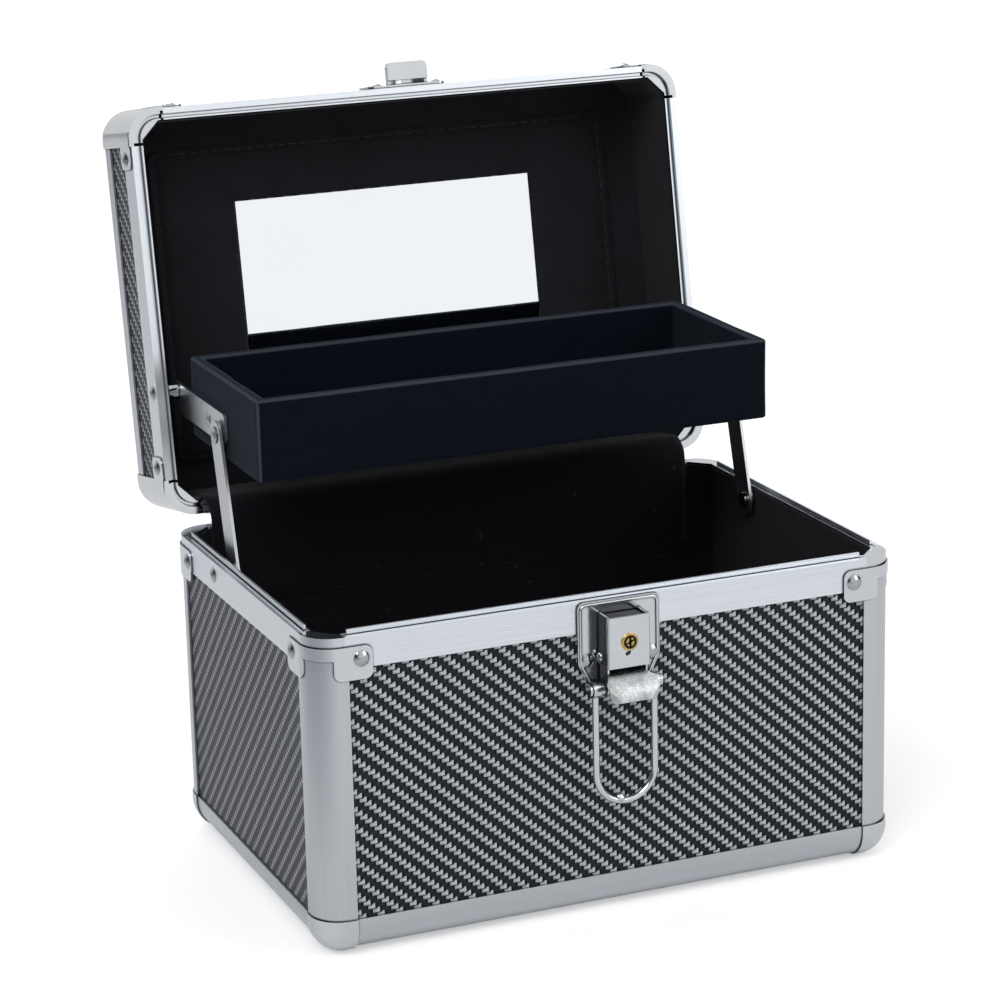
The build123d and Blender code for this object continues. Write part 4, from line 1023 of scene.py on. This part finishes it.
plate_corners = [
    Vector((LATCH_X + x * MM, PLATE_FACE, z * MM))
    for x, z in ((-16.3, 105.2), (-16.3, 128.5), (16.3, 128.5), (16.3, 105.2), (9.9, 92.3), (-9.9, 92.3))
]
bead = piece("latch_plate_bead", *tube(rounded_path(plate_corners, 2.6 * MM), 0.55 * MM, 10, True), chrome)
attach(bead, "base")
print("bead:", len(bead.data.polygons), "faces")

# %% Key ring, lock works and notch
KEY_RING = 3.3 * MM
KEY = Vector((LATCH_X, LOCK_FRONT, KEY_LEVEL))
angles = [2 * pi * k / 40 for k in range(40)]
circle = [KEY + Vector((cos(angle), 0, sin(angle))) * KEY_RING for angle in angles]
key_ring = piece("key_ring", *tube(circle, 0.40 * MM, 10, True), brass)
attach(key_ring, "base")

# the lock's works: a block painted near black, painted shade for the dark inside the housing and under it
body_middle = (LATCH_X, -90.55 * MM)
body_rings = []
for inset, level in ((1.2, 103.4), (0.2, 103.7), (0.0, 104.6), (0.0, 123.4), (0.4, 124.2), (1.4, 124.4)):
    half_x, half_y = (7.7 - inset) * MM, (4.25 - inset) * MM
    body_rings.append(ring(half_x, half_y, 0.8 * MM, level * MM, body_middle, 1.0, 6))
lock_body = skin("lock_body", body_rings, shade_black_metal)
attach(lock_body, "base")

# the notch below the key is a thin near-black sheet: painted shade for its recess
notch_outline = ((-1.9, -4.3), (-0.2, -3.5), (0.5, -3.9), (0.1, -5.1), (-1.5, -5.6))
notch_front = [KEY + Vector((x * MM, -0.04 * MM, z * MM)) for x, z in notch_outline]
notch_back = [point + Vector((0, 0.3 * MM, 0)) for point in notch_front]
notch_faces = [(0, 1, 2, 3, 4), (9, 8, 7, 6, 5)]
notch_faces += [(k, (k + 1) % 5, (k + 1) % 5 + 5, k + 5) for k in range(5)]
key_notch = piece("key_notch", notch_front + notch_back, notch_faces, shade_black_metal)
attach(key_notch, "base")
print("key ring and works:", len(key_ring.data.polygons) + len(lock_body.data.polygons), "faces")


# %% Flank rivet and weld
def blob(name, centre, size, normal, material, steps=9, around=20):
    """A low dome or a bead of metal, turned about normal: size is (radius, height)."""
    towards = normal.normalized()
    side = towards.orthogonal().normalized()
    other = towards.cross(side)
    points, faces = [], []
    for k in range(steps):
        tilt = k / (steps - 1) * pi / 2
        reach, lift = size[0] * cos(tilt) ** 0.8, size[1] * sin(tilt)
        for a in range(around):
            angle = 2 * pi * a / around
            wobble = 1 + 0.05 * noise.noise(Vector((cos(angle), sin(angle), tilt)) * 1.7)
            outward = side * cos(angle) + other * sin(angle)
            points.append(centre + outward * reach * wobble + towards * lift)
    for k in range(steps - 1):
        for a in range(around):
            b = (a + 1) % around
            faces.append((k * around + a, k * around + b, (k + 1) * around + b, (k + 1) * around + a))
    faces.append(tuple(reversed(range(around))))
    return piece(name, points, faces, material)


flank = Vector((LATCH_X - 8.95 * MM, -88.4 * MM, 107.5 * MM))
third_rivet = blob("latch_third_rivet", flank, (2.0 * MM, 1.3 * MM), Vector((-1, -0.25, 0)), nickel)
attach(third_rivet, "base")
weld_at = Vector((LATCH_X - 2.6 * MM, -91 * MM, (95.5 - 46.0) * MM))
weld = blob("bail_weld", weld_at, (1.9 * MM, 1.5 * MM), Vector((0.1, -0.75, 0.7)), chrome)
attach(weld, "latch_bail")
print("rivet and weld are on")

# %% [markdown]
# ## The camera
# The photograph was taken from the front left and a little above. Its place was worked out once from
# the corners of the box, and is written here as angles, a distance and a small sideways offset, which
# say more to a reader than a matrix. The lens is long, as for most product pictures.

# %% Camera
IMAGE = 1000
FOCAL_PIXELS = 3284.8
azimuth, elevation, roll = radians(-22.475), radians(15.888), radians(-1.368)
distance, slide_right, slide_up = 1.38288, -0.01421, 0.14169

back = Vector((sin(azimuth) * cos(elevation), -cos(azimuth) * cos(elevation), sin(elevation)))
right = Vector((cos(azimuth), sin(azimuth), 0))
upward = back.cross(right)
rolled_right = right * cos(roll) + upward * sin(roll)
rolled_up = upward * cos(roll) - right * sin(roll)
camera = bpy.data.objects.new("camera", bpy.data.cameras.new("camera"))
camera.data.sensor_width = 36.0
camera.data.lens = FOCAL_PIXELS / IMAGE * 36.0
camera.data.clip_end = 60.0
turn = Matrix((rolled_right, rolled_up, back)).transposed().to_4x4()
stand = back * distance + rolled_right * slide_right + rolled_up * slide_up
camera.matrix_world = Matrix.Translation(stand) @ turn
bpy.context.scene.collection.objects.link(camera)
bpy.context.scene.camera = camera
print("camera lens:", round(camera.data.lens, 1), "mm")

# %% [markdown]
# ## Floor, light and background
# Product pictures are lit by large soft boxes in a white room. Metal shows that room, so what the metal
# sees matters as much as the lamps: white nearly everywhere, greyer low down in front. The background is
# white to the camera because its own light is added to it, not because the case is lit harder. In metal
# the floor's left part looks grey, as it would with the room's dark side standing over it.


# %% Floor
def floor_recipe(wire):
    """White to the camera, and grey at the left for what mirrors it."""
    here = place(wire, False)
    speck = grain(here, [60.0] * 3, 2.0)
    seen = wire.node("LightPath", out="Is Camera Ray")
    mirrored = wire.node("LightPath", out="Is Glossy Ray")
    x, y, _ = split(here)
    shaded = ((0.0 - x - y * 0.2 - 0.22) * 3.0).clamped()
    paint = blend((0.80, 0.80, 0.80), (0.84, 0.84, 0.84), speck)
    glow = (seen * 0.40 + mirrored * 0.05).clamped()
    return {
        "Base Color": blend(paint, (0.30, 0.31, 0.33), mirrored * shaded),
        "Roughness": 0.9,
        "Emission Color": blend((0.0, 0.0, 0.0), (1.0, 1.0, 1.0), glow),
        "Emission Strength": 1.0,
    }


floor_finish = finish("white_floor", floor_recipe)
FLOOR_HALF, FLOOR_LEVEL = 9.0, -0.0005
floor_corners = [
    Vector((x * FLOOR_HALF, y * FLOOR_HALF, FLOOR_LEVEL)) for x, y in ((-1, -1), (1, -1), (1, 1), (-1, 1))
]
floor = piece("floor", floor_corners, [(0, 1, 2, 3)], floor_finish)
print("floor is", 2 * FLOOR_HALF, "m wide")

# %% World and lamps
world = bpy.data.worlds.new("white_room")
world.use_nodes = True
bpy.context.scene.world = world
sky = Wire(world.node_tree)
background = next(n for n in world.node_tree.nodes if n.type == "BACKGROUND")
seen = sky.node("LightPath", out="Is Camera Ray")
mirrored = sky.node("LightPath", out="Is Glossy Ray")
across, deep, height = split(sky.node("TexCoord", out="Generated"))
in_front = ((across * 0.37 - deep * 0.93 - 0.55) * 4.0).clamped()
behind = ((deep * 0.93 - 0.35) * 3.0).clamped()
above = ((height - 0.45) * 4.0).clamped()
room = blend((0.07, 0.075, 0.085), (1.0, 1.0, 1.0), in_front.most(above).most(behind * 0.75))
lit = blend((0.55, 0.55, 0.56), room, mirrored)
shown = blend(lit, (1.0, 1.0, 1.0), seen)
world.node_tree.links.new(shown.socket, background.inputs["Color"])
background.inputs["Strength"].default_value = 1.0


def soft_box(name, spot, size, power):
    """A square area lamp at spot that looks at the middle of the case."""
    lamp = bpy.data.lights.new(name, "AREA")
    lamp.size = size
    lamp.energy = power
    made = bpy.data.objects.new(name, lamp)
    made.location = spot
    made.rotation_mode = "QUATERNION"
    made.rotation_quaternion = (Vector((0, 0, 0.13)) - Vector(spot)).to_track_quat("-Z", "Y")
    bpy.context.scene.collection.objects.link(made)
    return made


lamps = [
    soft_box("key_box", (-1.6, -1.5, 2.2), 1.6, 32.0),
    soft_box("fill_box", (2.0, -1.8, 1.5), 1.8, 16.0),
    soft_box("back_box", (0.3, 2.4, 2.0), 1.6, 14.0),
]
bpy.context.scene.view_settings.view_transform = "Standard"
print(len(lamps), "soft boxes")

# %% [markdown]
